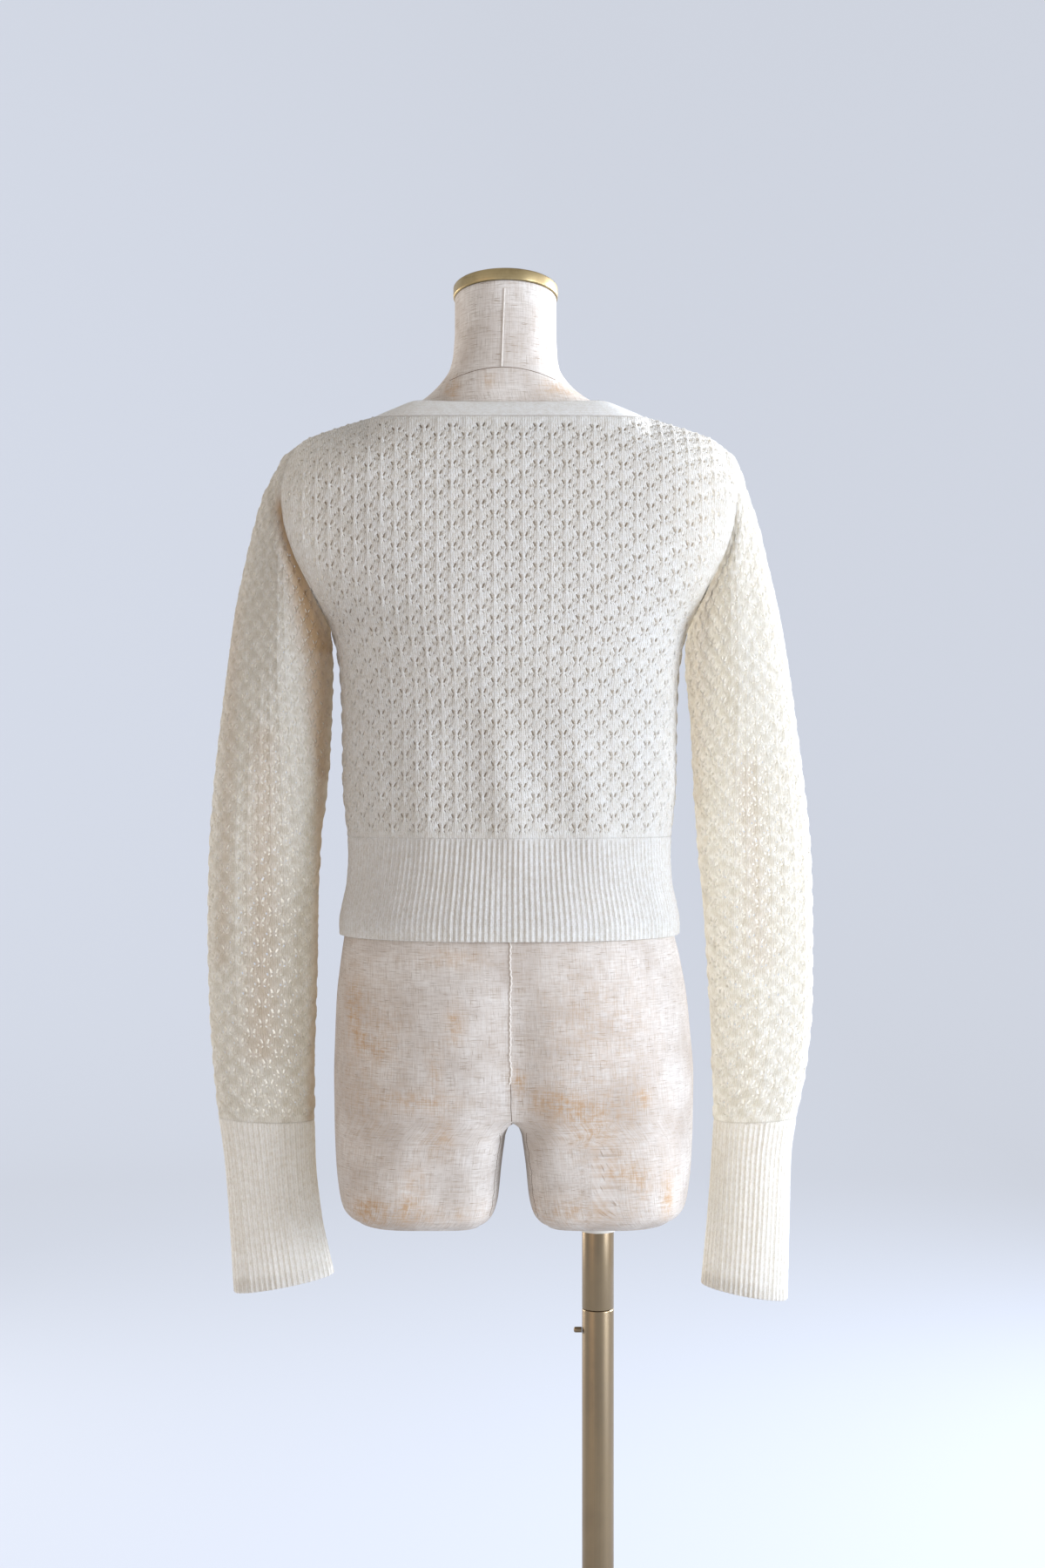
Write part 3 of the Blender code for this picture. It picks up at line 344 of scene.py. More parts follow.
# Cuffs, from the sleeve down to the slanted bottom edge.
CUFF_COLUMNS = "ring out_z out_x in_z in_x depth"
CUFFS = {
    "left": Table(CUFF_COLUMNS, [
        (0, 0.7570, 0.2560, 0.7545, 0.1723, 0.0310),
        (1, 0.7200, 0.2508, 0.7180, 0.1712, 0.0280),
        (2, 0.6700, 0.2468, 0.6720, 0.1662, 0.0262),
        (3, 0.6035, 0.2427, 0.6200, 0.1552, 0.0250),
    ]),
    "right": Table(CUFF_COLUMNS, [
        (0, 0.7570, 0.2525, 0.7545, 0.1804, 0.0305),
        (1, 0.7200, 0.2478, 0.7180, 0.1783, 0.0280),
        (2, 0.6700, 0.2465, 0.6720, 0.1750, 0.0262),
        (3, 0.5972, 0.2448, 0.6110, 0.1694, 0.0250),
    ]),
}

# Largest sleeve folds: turn round the sleeve (0 outer, 90 back, 180 inner), ring where
# each starts and ends, half width and height. A trough has a negative height.
SLEEVE_FOLDS = Table("turn ring_from ring_to to_turn spread height", [
    (84, 2.0, 8.0, 98, 13.0, 0.0035),
    (118, 1.5, 7.0, 126, 13.0, -0.0050),
    (52, 3.0, 7.5, 70, 14.0, -0.0025),
    (96, 7.5, 12.0, 76, 17.0, -0.0025),
    (262, 2.0, 8.0, 250, 15.0, 0.0030),
    (236, 1.5, 6.5, 228, 13.0, -0.0040),
    (290, 6.5, 11.5, 300, 17.0, -0.0025),
])

# Dress form above the shoulders and below the hem.
FORM = Table("z half back front power centre", [
    (NECK_TOP_Z, 0.0446, 0.0446, 0.0446, 2.0, 0.0035),
    (1.4500, 0.0446, 0.0450, 0.0450, 2.0, 0.0035),
    (1.4270, 0.0458, 0.0460, 0.0455, 2.0, 0.0038),
    (1.4150, 0.0482, 0.0470, 0.0460, 2.0, 0.0042),
    (1.4030, 0.0558, 0.0480, 0.0470, 2.0, 0.0042),
    (1.3920, 0.0672, 0.0490, 0.0480, 2.0, 0.0036),
    (1.3840, 0.0795, 0.0500, 0.0490, 2.0, 0.0022),
    (1.3775, 0.0915, 0.0515, 0.0500, 2.0, 0.0008),
    (1.3715, 0.1010, 0.0525, 0.0515, 2.0, 0.0),
    (1.3620, 0.1330, 0.0580, 0.0540, 2.0, 0.0),
    (1.3485, 0.1635, 0.0680, 0.0605, 2.1, 0.0),
    (1.3300, 0.1760, 0.0820, 0.0720, 2.5, 0.0),
    (1.3000, 0.1750, 0.0885, 0.0870, 2.9, 0.0),
    (1.2600, 0.1700, 0.0910, 0.1020, 3.0, 0.0),
    (1.2200, 0.1600, 0.0910, 0.1135, 2.6, 0.0),
    (1.1880, 0.1530, 0.0895, 0.1185, 2.3, 0.0),
])
FORM_BELOW = Table("z half back front power centre", [
    (0.9170, 0.1450, 0.1140, 0.1022, 2.3, 0.0),
    (0.8960, 0.1490, 0.1170, 0.1040, 2.3, -0.0010),
    (0.8650, 0.1535, 0.1190, 0.1050, 2.3, -0.0020),
    (0.8300, 0.1560, 0.1180, 0.1045, 2.3, -0.0030),
    (0.7960, 0.1577, 0.1146, 0.1024, 2.4, -0.0038),
    (0.7670, 0.1574, 0.1100, 0.0998, 2.45, -0.0038),
])

# Thigh stubs: inner and outer side measured from the form's middle.
THIGH = Table("z inner outer back front", [
    (0.6745, 0.0262, 0.1390, 0.0860, 0.0730),
    (0.6775, 0.0205, 0.1450, 0.0905, 0.0785),
    (0.6840, 0.0160, 0.1497, 0.0950, 0.0835),
    (0.6960, 0.0130, 0.1525, 0.0975, 0.0865),
    (0.7210, 0.0105, 0.1553, 0.0990, 0.0890),
    (0.7490, 0.0068, 0.1566, 0.1003, 0.0912),
])

# Soft folds of the back: width and height of each end, half width, height.
BACK_FOLDS = [
    (0.024, 1.175, -0.005, 1.000, 0.017, 0.0052),
    (-0.040, 1.155, -0.078, 0.996, 0.019, 0.0056),
    (0.078, 1.120, 0.070, 1.000, 0.014, 0.0026),
    (-0.118, 1.110, -0.112, 1.000, 0.013, 0.0022),
    (0.118, 1.150, 0.112, 1.000, 0.014, 0.0022),
]

# Fine creases of the sleeves, as the folds above.
SLEEVE_CREASES = [
    (150, 3.4, 6.4, 168, 7.0, -0.0024),
    (172, 5.2, 7.2, 150, 6.0, 0.0016),
    (200, 3.6, 6.6, 188, 8.0, -0.0018),
    (66, 4.5, 11.0, 88, 12.0, 0.0016),
    (132, 7.5, 12.5, 120, 12.0, 0.0014),
    (40, 9.0, 13.4, 58, 12.0, -0.0012),
    (100, 11.0, 13.8, 92, 13.0, 0.0014),
    (300, 3.0, 9.0, 280, 13.0, 0.0016),
    (215, 8.0, 13.0, 235, 12.0, 0.0014),
]

# Rust and dust stains of the linen, and in the last four rows wide, weak painted shade over
# the sides of the seat: photo-side place, half width, half height, strength.
STAINS_AND_PAINTED_SHADE = [
    (0.133, 0.862, 0.006, 0.020, 0.6), (0.125, 0.834, 0.004, 0.006, 0.8),
    (0.110, 0.825, 0.005, 0.006, 0.6), (0.045, 0.850, 0.006, 0.012, 0.7),
    (0.061, 0.812, 0.005, 0.014, 0.5), (0.073, 0.785, 0.024, 0.007, 0.6),
    (0.056, 0.754, 0.008, 0.012, 0.6), (0.076, 0.722, 0.007, 0.010, 0.6),
    (0.086, 0.700, 0.006, 0.012, 0.7), (0.118, 0.690, 0.012, 0.010, 0.9),
    (-0.008, 0.803, 0.005, 0.008, 0.9), (-0.035, 0.788, 0.016, 0.008, 0.6),
    (-0.060, 0.778, 0.024, 0.008, 0.7), (-0.066, 0.757, 0.012, 0.008, 0.5),
    (-0.081, 0.733, 0.006, 0.010, 0.5), (-0.112, 0.788, 0.005, 0.006, 0.8),
    (-0.096, 0.724, 0.012, 0.006, 0.6), (-0.113, 0.712, 0.006, 0.010, 0.6),
    (-0.134, 0.700, 0.004, 0.014, 0.9), (-0.050, 0.690, 0.040, 0.010, 0.5),
    (0.070, 0.688, 0.050, 0.008, 0.4), (0.050, 0.905, 0.022, 0.006, 0.5),
    (0.049, 1.392, 0.006, 0.008, 0.7), (0.018, 1.398, 0.005, 0.006, 0.5),
    (-0.035, 1.392, 0.008, 0.006, 0.6), (-0.052, 1.390, 0.007, 0.005, 0.7),
    # Painted shade, wide and weak, over the sides of the seat
    (-0.070, 0.850, 0.040, 0.045, 0.32), (-0.085, 0.750, 0.035, 0.040, 0.25),
    (0.128, 0.800, 0.022, 0.090, 0.30), (0.100, 0.845, 0.018, 0.030, 0.20),
]

# Painted shade, warm, where a sleeve lies double beside the body; less light comes through
# there too. Photo-side places of the upper and the lower end, half width at both, strength.
# Both ends fade over the length below, and the front of a sleeve has none.
DOUBLED_SHADE_ENDS = 0.012
DOUBLED_SHADE_FROM_Y = -0.01
DOUBLED_PAINTED_SHADE = [
    (0.1950, 1.285, 0.1650, 1.168, 0.007, 0.015, 1.0),
    (0.1650, 1.168, 0.1640, 1.060, 0.014, 0.006, 0.8),
    (0.1650, 1.060, 0.1680, 0.860, 0.005, 0.005, 0.6),
    (0.2120, 1.090, 0.2150, 0.820, 0.012, 0.016, 0.35),
    (0.2400, 1.200, 0.2500, 0.900, 0.008, 0.008, 0.25),
    (0.1700, 0.860, 0.1740, 0.760, 0.004, 0.004, 0.5),
    (-0.1800, 1.255, -0.1600, 1.165, 0.005, 0.012, 0.22),
    (-0.1600, 1.165, -0.1645, 1.040, 0.012, 0.007, 0.22),
    (-0.1650, 1.040, -0.1740, 0.800, 0.006, 0.006, 0.16),
    (-0.2050, 1.060, -0.2180, 0.900, 0.010, 0.012, 0.2),
]


def held(value):
    """Value held between 0 and 1."""
    return np.clip(value, 0.0, 1.0)


def unit(vectors):
    """Vectors at length 1."""
    size = np.linalg.norm(vectors, axis=-1, keepdims=True)
    return vectors / np.maximum(size, 1e-12)


def oval(share, power):
    """Height of a superellipse at a share of its half width."""
    return (1 - share ** power) ** (1 / power)


def new_object(name, data):
    """Object at the origin that holds some data."""
    thing = bpy.data.objects.new(name, data)
    bpy.context.scene.collection.objects.link(thing)
    return thing


def sign_of(face):
    """The back lies at +Y and the front at -Y."""
    return 1.0 if face == "back" else -1.0


# Shape of the garment's body

def neck_depth(x, face):
    """Depth of the top edge of the back at a width; the shoulder line has none."""
    inside = np.minimum(np.abs(x) / NECK_X, 1.0)
    curve = BACK_NECK_Y * oval(inside, NECK_POWER)
    return curve if face == "back" else np.zeros_like(inside)


def top_line(x, face):
    """Height of the top edge: the shoulder seam, and the neck inside it."""
    away = np.abs(x)
    if face == "front":
        inner = NECK_Z + FRONT_NECK_SLOPE * (NECK_X - away)
    else:
        inner = NECK_Z - BACK_NECK_SLOPE * neck_depth(x, face)
    return np.where(away >= NECK_X, SHOULDER.at(away, "z"), inner)


def depth(x, z, face):
    """Distance of the cardigan's outside from the side plane."""
    across = np.minimum(np.abs(x) / BODY.at(z, "half"), 1.0)
    full = BODY.at(z, face) * oval(across, SECTION_POWER)
    if face == "back":
        rise = held((z - ARMPIT_Z) / (TIP_Z - ARMPIT_Z))
        away = (np.abs(x) - ARMHOLE.at(z, "x")) / ARM_FILL_WIDE
        full = full + ARM_FILL * np.sin(math.pi * rise) * np.exp(-away ** 2)
    top = neck_depth(x, face)
    below = held((top_line(x, face) - z) / SHOULDER_ROUND)
    return top + (full - top) * np.sqrt(1 - (1 - below) ** 2)


def back_folds(x, z):
    """Height of the soft folds that run down the back to the rib.

    Each swells from nothing at its upper end and fades just below its lower one.
    """
    total = np.zeros_like(x)
    for x_top, z_top, x_low, z_low, spread, height in BACK_FOLDS:
        run = (z_top - z) / (z_top - z_low)
        line = x_top + (x_low - x_top) * np.clip(run, 0, 1.3)
        swell = np.sin(math.pi / 2 * held(run)) ** 1.5 * held(1 - (run - 0.9) / 0.3)
        total += height * swell * np.exp(-((x - line) / spread) ** 2)
    return total


def body_points(x, z, face):
    """Points on the outside of the body at widths and heights."""
    x, z = np.broadcast_arrays(np.asarray(x, float), np.asarray(z, float))
    y = depth(x, z, face)
    if face == "back":
        y = y + back_folds(x, z)
    return np.stack([x, sign_of(face) * y, z], axis=-1)


def panel_edge(z):
    """Half width of a panel: the side seam, then the armhole."""
    return np.where(z <= ARMPIT_Z, BODY.at(z, "half"), ARMHOLE.at(z, "x"))


def row_height(row_z, x, face):
    """Height of a row away from the side: rows rise towards the neck."""
    rise = held((row_z - ARMPIT_Z) / (TIP_Z - ARMPIT_Z))
    return row_z + rise * (top_line(x, face) - TIP_Z)


def v_edge(row_z):
    """Half width of the front opening's seam at a row: straight, then the V."""
    x = np.full_like(row_z, BAND_WIDTH / 2)
    for _ in range(6):
        z = row_height(row_z, x, "front")
        rise = held((z - V_POINT_Z) / (NECK_Z - V_POINT_Z))
        x = BAND_WIDTH / 2 + (NECK_X - BAND_WIDTH / 2) * rise ** V_CURVE
    return np.where(row_z >= TIP_Z - 1e-9, NECK_X, x)


def panel_rows():
    """Heights of rows at the side edge, closer where the shoulder turns over."""
    low = np.linspace(HEM_TOP, TIP_Z - SHOULDER_ROUND, PANEL_ROWS)[:-1]
    turn = np.linspace(0, math.pi / 2, PANEL_TURN_ROWS)
    return np.concatenate([low, TIP_Z - SHOULDER_ROUND * (1 - np.sin(turn))])


def wale_places(rows, x, run, half):
    """Where the wales of a half panel lie along its rows, measured from the body's middle.

    They share the row evenly below the armpits, keep that spacing above them, where the
    armhole lets more of them in, and run straight up over the shoulder.
    """
    pitch = run[:, -1] / half
    pitch[rows > ARMPIT_Z] = pitch[rows <= ARMPIT_Z][-1]
    turn = int(np.searchsorted(rows, TIP_Z - SHOULDER_ROUND))
    count = int(math.ceil((run[:turn + 1, -1] / pitch[:turn + 1]).max()))
    places = pitch[:, None] * np.arange(count + 1)[None, :]
    upright = np.interp(places[turn], run[turn], x[turn])
    for r in range(turn, len(rows)):
        places[r] = np.interp(upright, x[r], run[r])
    return places


def body_hearts(rows):
    """Points inside the body, one for each row."""
    none = np.zeros_like(rows)
    return np.stack([none, none, np.minimum(rows, HEART_TOP_Z)], axis=-1)


# Cloth laid out from a surface

def surface_normals(grid, hearts):
    """Outward directions of a grid of points, away from a heart for each row."""
    across = np.gradient(grid, axis=1)
    along = np.gradient(grid, axis=0)
    normal = unit(np.cross(across, along))
    facing = (normal * (grid - hearts[:, None, :])).sum(axis=2, keepdims=True)
    return np.where(facing < 0, -normal, normal)


def lengths(grid, axis):
    """Distance along a grid from its first row or column."""
    steps = np.linalg.norm(np.diff(grid, axis=axis), axis=2)
    start = np.zeros_like(np.take(steps, [0], axis=axis))
    return np.concatenate([start, np.cumsum(steps, axis=axis)], axis=axis)


def read_across(grid, normals, run, low, high, wanted):
    """Read rows at wanted lengths held between low and high: point, normal, edge margin."""
    place = np.clip(wanted, low[:, None], high[:, None])
    data = np.concatenate([grid, normals], axis=2)
    out = np.empty((len(grid), wanted.shape[1], 7))
    for r in range(len(grid)):
        for k in range(6):
            out[r, :, k] = np.interp(place[r], run[r], data[r, :, k])
    out[:, :, 6] = np.minimum(place - low[:, None], high[:, None] - place)
    return out


def read_up(cloth, pitch):
    """Read columns at even lengths up from the first row; adds how far both ends are."""
    run = lengths(cloth[:, :, :3], 0)
    top = run[-1]
    wanted = np.arange(int(math.ceil(top.max() / pitch)) + 1) * pitch
    out = np.empty((len(wanted), cloth.shape[1], 9))
    for c in range(cloth.shape[1]):
        place = np.minimum(wanted, top[c])
        for k in range(7):
            out[:, c, k] = np.interp(place, run[:, c], cloth[:, c, k])
        out[:, c, 7] = place
        out[:, c, 8] = top[c] - place
    out[:, :, 3:6] = unit(out[:, :, 3:6])
    return out


def lattice_uv(columns, rows, wide, high):
    """Places of a lattice's points in metres, by stitch columns and rows."""
    u, v = np.meshgrid(columns * wide, rows * high)
    return np.stack([u, v], axis=-1)


def build_mesh(name, points, uv, solid=None, flip=False, turn_in=0.0, closed=False, caps=False):
    """Mesh of a lattice of points, with its open edges turned in by the yarn's thickness."""
    rows, columns = points.shape[:2]
    index = np.arange(rows * columns).reshape(rows, columns)
    quads = np.stack([index[:-1, :-1], index[:-1, 1:], index[1:, 1:], index[1:, :-1]], axis=-1)
    quads = quads.reshape(-1, 4) if solid is None else quads[solid]
    if closed:
        ring = np.stack([index[:-1, -1], index[:-1, 0], index[1:, 0], index[1:, -1]], axis=-1)
        quads = np.concatenate([quads, ring])
    flat = points.reshape(-1, 3)
    a, b, c, d = (flat[quads[:, k]] for k in range(4))
    area = np.linalg.norm(np.cross(c - a, d - b), axis=1) / 2
    quads = quads[area > LEAST_AREA]
    if flip:
        quads = quads[:, ::-1]
    faces = quads.tolist()
    if caps:
        for ring, turned in ((index[0], not flip), (index[-1], flip)):
            faces.append(ring[::-1].tolist() if turned else ring.tolist())
    mesh = bpy.data.meshes.new(name)
    mesh.from_pydata(flat.tolist(), [], faces)
    place = mesh.attributes.new("place", "FLOAT_VECTOR", "POINT")
    both = np.concatenate([uv.reshape(-1, 2), np.zeros((len(flat), 1))], axis=1)
    place.data.foreach_set("vector", both.ravel())
    work = bmesh.new()
    work.from_mesh(mesh)
    loose = [v for v in work.verts if not v.link_faces]
    bmesh.ops.delete(work, geom=loose, context="VERTS")
    bmesh.ops.remove_doubles(work, verts=work.verts, dist=WELD)
    if turn_in:
        turn_edges_in(work, turn_in)
    work.to_mesh(mesh)
    work.free()
    mesh.shade_smooth()
    add_uv(mesh)
    return new_object(name, mesh)


def turn_edges_in(work, distance):
    """Give open edges and lace holes their yarn's thickness, towards the inside."""
    work.normal_update()
    rim = [e for e in work.edges if len(e.link_faces) == 1]
    made = bmesh.ops.extrude_edge_only(work, edges=rim)["geom"]
    inner = {g for g in made if isinstance(g, bmesh.types.BMVert)}
    moves = []
    for vert in inner:
        near = [e.other_vert(vert) for e in vert.link_edges]
        near = [v for v in near if v not in inner]
        partner = min(near, key=lambda v: (v.co - vert.co).length)
        moves.append((vert, partner.normal.copy()))
    for vert, normal in moves:
        vert.co -= normal * distance


def add_uv(mesh):
    """UV map in metres from the places that the points were laid out at."""
    place = np.empty(len(mesh.vertices) * 3)
    mesh.attributes["place"].data.foreach_get("vector", place)
    place = place.reshape(-1, 3)[:, :2]
    corner = np.empty(len(mesh.loops), int)
    mesh.loops.foreach_get("vertex_index", corner)
    layer = mesh.uv_layers.new(name="cloth")
    layer.data.foreach_set("uv", place[corner].ravel())
    mesh.attributes.remove(mesh.attributes["place"])


def wear(thing, material, slot, *nodes):
    """Give a piece its material, body and the nodes it stands for; the slot is not used."""
    thing.data.materials.clear()
    thing.data.materials.append(material)
    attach(thing, "root")
    if nodes:
        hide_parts(*nodes)
    return thing


# Lace

def lace_cell(stretch):
    """Moved points and open squares of one motif, in metres, keyed by column and row.

    The stretch, in mm, widens every hole away from the motif's middle.
    """
    moves = {
        (1, 0): (1.20, 0.15), (2, 0): (2.25, -0.15),
        (1, 1): (1.80, 1.95), (2, 1): (3.05, 1.55),
        (1, 2): (2.85, 3.90), (2, 2): (3.90, 3.65),
        (3, -1): (5.20, -2.20), (4, -1): (5.85, -2.45),
        (3, 0): (5.60, -0.35), (4, 0): (6.55, -0.60),
        (1, -2): (2.35, -3.55), (2, -2): (3.15, -3.75),
        (1, -1): (1.35, -1.95), (2, -1): (2.25, -1.85),
    }
    holes = [(1, 0), (1, 1), (3, -1), (1, -2)]
    shift = {}
    for (column, row), (x, y) in moves.items():
        if column % 2 == 0:
            x += stretch
        du = x / 1000 - column * WALE
        dv = y / 1000 - row * COURSE
        shift[column, row] = (du, dv)
        shift[-column, row] = (-du, dv)
    return shift, holes + [(-column - 1, row) for column, row in holes]


def lace_relief(x, y):
    """Height of the lace in mm at a place in mm from a motif's foot.

    A spine runs up the middle, two arms lean out from it, and the holes lie in wells.
    """
    spine = 1.00 * np.exp(-(x / 1.0) ** 2) * held((4.0 - y) / 1.5) * held((y + 9.5) / 3.0)
    arm = 0.55 * np.exp(-((np.abs(x) - 0.9 * (y + 2.2)) / 1.1) ** 2)
    arm = arm * held((5.5 - y) / 2.0) * held((y + 2.0) / 1.5)
    well = -0.75 * np.exp(-((np.abs(x) - 2.7) / 1.4) ** 2 - ((y - 2.0) / 2.4) ** 2)
    small = -0.45 * np.exp(-((np.abs(x) - 5.8) / 1.2) ** 2 - ((y + 1.4) / 1.3) ** 2)
    return spine + arm + well + small


def lace_shell(cloth, first_column, seed, stretch=0.1):
    """Points, uv and closed squares of a lace piece from its lattice."""
    rows, columns = cloth.shape[:2]
    points = cloth[:, :, 0:3].copy()
    normals = cloth[:, :, 3:6]
    margin = cloth[:, :, 6:9].min(axis=2)
    across = unit(np.gradient(points, axis=1))
    along = unit(np.gradient(points, axis=0))
    shift, open_squares = lace_cell(stretch)
    column_number = np.arange(columns) + first_column
    row_number = np.arange(rows)
    chance = np.random.default_rng(seed)
    height = chance.normal(0.0, LACE_UNEVEN_MM, (rows, columns))
    for column_step, row_step in ((0, 0), (LACE_COLUMNS // 2, LACE_ROWS // 2)):
        x = (column_number - column_step + LACE_COLUMNS // 2) % LACE_COLUMNS - LACE_COLUMNS // 2
        y = (row_number - row_step + MOTIF_ROWS_BELOW) % LACE_ROWS - MOTIF_ROWS_BELOW
        height += lace_relief(1000 * WALE * x[None, :], 1000 * COURSE * y[:, None])
    points += normals * (height * held(margin / EDGE_PLAIN) / 1000)[:, :, None]
    free = margin > EDGE_PLAIN
    jitter = chance.normal(0.0, LACE_JITTER, (rows, columns, 2)) * free[:, :, None]
    points += across * jitter[:, :, :1] + along * jitter[:, :, 1:]
    solid = np.ones((rows - 1, columns - 1), bool)
    # A motif opens only where all of it lies away from the piece's edges.
    for row in range(2, rows - 4):
        if row % (LACE_ROWS // 2):
            continue
        start = 0 if row % LACE_ROWS == 0 else LACE_COLUMNS // 2
        for column in range(5, columns - 5):
            if (column + first_column - start) % LACE_COLUMNS:
                continue
            if not free[row - 2:row + 4, column - 4:column + 5].all():
                continue
            for (c, r), (du, dv) in shift.items():
                at = (row + r, column + c)
                points[at] += across[at] * du + along[at] * dv
            for c, r in open_squares:
                solid[row + r, column + c] = False
    return points, lattice_uv(column_number, row_number, WALE, COURSE), solid


def add_back(material):
    """Lace back, from the hem rib to the neck and the shoulder seams."""
    rows = panel_rows()
    turn = np.sin(np.linspace(-math.pi / 2, math.pi / 2, BACK_POINTS))
    x = panel_edge(rows)[:, None] * turn[None, :]
    grid = body_points(x, row_height(rows[:, None], x, "back"), "back")
    normals = surface_normals(grid, body_hearts(rows))
    run = lengths(grid, 1)
    middle = grid.shape[1] // 2
    away = wale_places(rows, x[:, middle:], run[:, middle:] - run[:, middle:middle + 1],
                       BACK_REPEATS * LACE_COLUMNS // 2)
    wanted = run[:, middle:middle + 1] + np.concatenate([-away[:, :0:-1], away], axis=1)
    cloth = read_across(grid, normals, run, np.zeros(len(rows)), run[:, -1], wanted)
    cloth = read_up(cloth, COURSE)
    points, uv, solid = lace_shell(cloth, 1 - away.shape[1], 11)
    thing = build_mesh("lace_back", points, uv, solid, True, YARN)
    wear(thing, material, "lace_knit", "back")


def add_front(side_name, material):
    """Lace front, from the hem rib to the shoulder and the band's seam."""
    side = SIDES[side_name]
    rows = panel_rows()
    turn = np.sin(np.linspace(0, math.pi / 2, FRONT_POINTS))
    x = panel_edge(rows)[:, None] * turn[None, :]
    grid = body_points(x, row_height(rows[:, None], x, "front"), "front")
    grid[:, :, 0] *= side
    normals = surface_normals(grid, body_hearts(rows))
    run = lengths(grid, 1)
    wanted = wale_places(rows, x, run, BACK_REPEATS * LACE_COLUMNS // 2)
    opening = v_edge(rows)
    low = np.array([np.interp(opening[r], x[r], run[r]) for r in range(len(rows))])
    cloth = read_across(grid, normals, run, low, run[:, -1], wanted)
    worn = cloth[:, :, :3].copy()
    cloth = read_up(cloth, COURSE)
    points, uv, solid = lace_shell(cloth, 0, 12 if side > 0 else 13)
    thing = build_mesh("lace_front_" + side_name, points, uv, solid, side < 0, YARN)
    wear(thing, material, "lace_knit", "front_" + side_name)


def ring_points(table, side, places, turns):
    """Oval rings of a sleeve or cuff: points for each place and turn, and centres."""
    outer, inner = (np.stack([side * table.at(places, end + "_x"), np.zeros_like(places),
                              table.at(places, end + "_z")], axis=-1) for end in ("out", "in"))
    centre = (outer + inner) / 2
    points = (centre[:, None, :] + ((outer - inner) / 2)[:, None, :]
              * np.cos(turns)[None, :, None])
    points[:, :, 1] += table.at(places, "depth")[:, None] * np.sin(turns)[None, :]
    return points, centre


def armhole_points(side, turns):
    """Armhole seam all round: turn 0 is the shoulder and half a turn the armpit."""
    z = ARM_MIDDLE_Z + ARM_HALF * np.cos(turns)
    x = ARMHOLE.at(z, "x")
    y = np.where(np.sin(turns) >= 0, depth(x, z, "back"), -depth(x, z, "front"))
    return np.stack([side * x, y, z], axis=-1)


def fold_heights(turns, places):
    """Height of all sleeve folds at turns in degrees and rings."""
    total = np.zeros((len(places), len(turns)))
    for start, first, last, end, spread, height in [*SLEEVE_FOLDS.rows, *SLEEVE_CREASES]:
        run = (places - first) / (last - first)
        line = start + (end - start) * run
        away = (turns[None, :] - line[:, None] + 180) % 360 - 180
        swell = np.where((run > 0) & (run < 1), np.sin(math.pi * held(run)) ** 0.8, 0.0)
        total += height * swell[:, None] * np.exp(-(away / spread) ** 2)
    return total


def sleeve_surface(side_name):
    """Sleeve from the cuff up to the armhole, opened along the underarm seam."""
    side = SIDES[side_name]
    table = SLEEVES[side_name]
    places = np.linspace(table.rows[-1, 0], 0.0, SLEEVE_RINGS)
    turns = np.linspace(-math.pi, math.pi, SLEEVE_POINTS)
    points, centre = ring_points(table, side, places, turns)
    start, _ = ring_points(table, side, np.zeros(1), turns)
    keep = np.maximum(0.0, 1 - places / SEAM_KEEP_RINGS) ** 2
    points += (armhole_points(side, turns) - start[0])[None, :, :] * keep[:, None, None]
    away = unit(points - centre[:, None, :])
    points += away * fold_heights(np.degrees(turns) % 360, places)[:, :, None]
    return points, centre


def add_sleeve(side_name, material):
    """Lace sleeve, from the cuff to the armhole."""
    side = SIDES[side_name]
    grid, centre = sleeve_surface(side_name)
    normals = surface_normals(grid, centre)
    run = lengths(grid, 1)
    run = run - run[:, grid.shape[1] // 2][:, None]
    half = int(max(run.max(), -run.min()) / WALE) + 1
    wanted = np.tile(np.arange(-half, half + 1) * WALE, (len(grid), 1))
    cloth = read_across(grid, normals, run, run[:, 0], run[:, -1], wanted)
    cloth = read_up(cloth, COURSE)
    points, uv, solid = lace_shell(cloth, -half, 14 if side > 0 else 15, SLEEVE_STRETCH_MM)
    thing = build_mesh("lace_sleeve_" + side_name, points, uv, solid, side < 0, YARN)
    paint_doubled_shade(thing)
    wear(thing, material, "lace_knit", "sleeve_" + side_name)


def paint_doubled_shade(thing):
    """Mark the painted shade where a sleeve lies double beside the body, for its material to
    darken.
    """
    mesh = thing.data
    spots = np.empty(len(mesh.vertices) * 3)
    mesh.vertices.foreach_get("co", spots)
    x, y, z = spots.reshape(-1, 3).T
    total = np.zeros_like(x)
    for top_x, top_z, low_x, low_z, top_wide, low_wide, strength in DOUBLED_PAINTED_SHADE:
        run = (top_z - z) / (top_z - low_z)
        along = held(run)
        away = (x - top_x - (low_x - top_x) * along) / (top_wide + (low_wide - top_wide) * along)
        past = np.maximum(np.abs(run - 0.5) - 0.5, 0.0) * (top_z - low_z) / DOUBLED_SHADE_ENDS
        total = np.maximum(total, strength * np.exp(-away ** 2 - past ** 2))
    values = mesh.attributes.new("doubled_painted_shade", "FLOAT", "POINT")
    values.data.foreach_set("value", total * (y > DOUBLED_SHADE_FROM_Y))


# Ribbed pieces

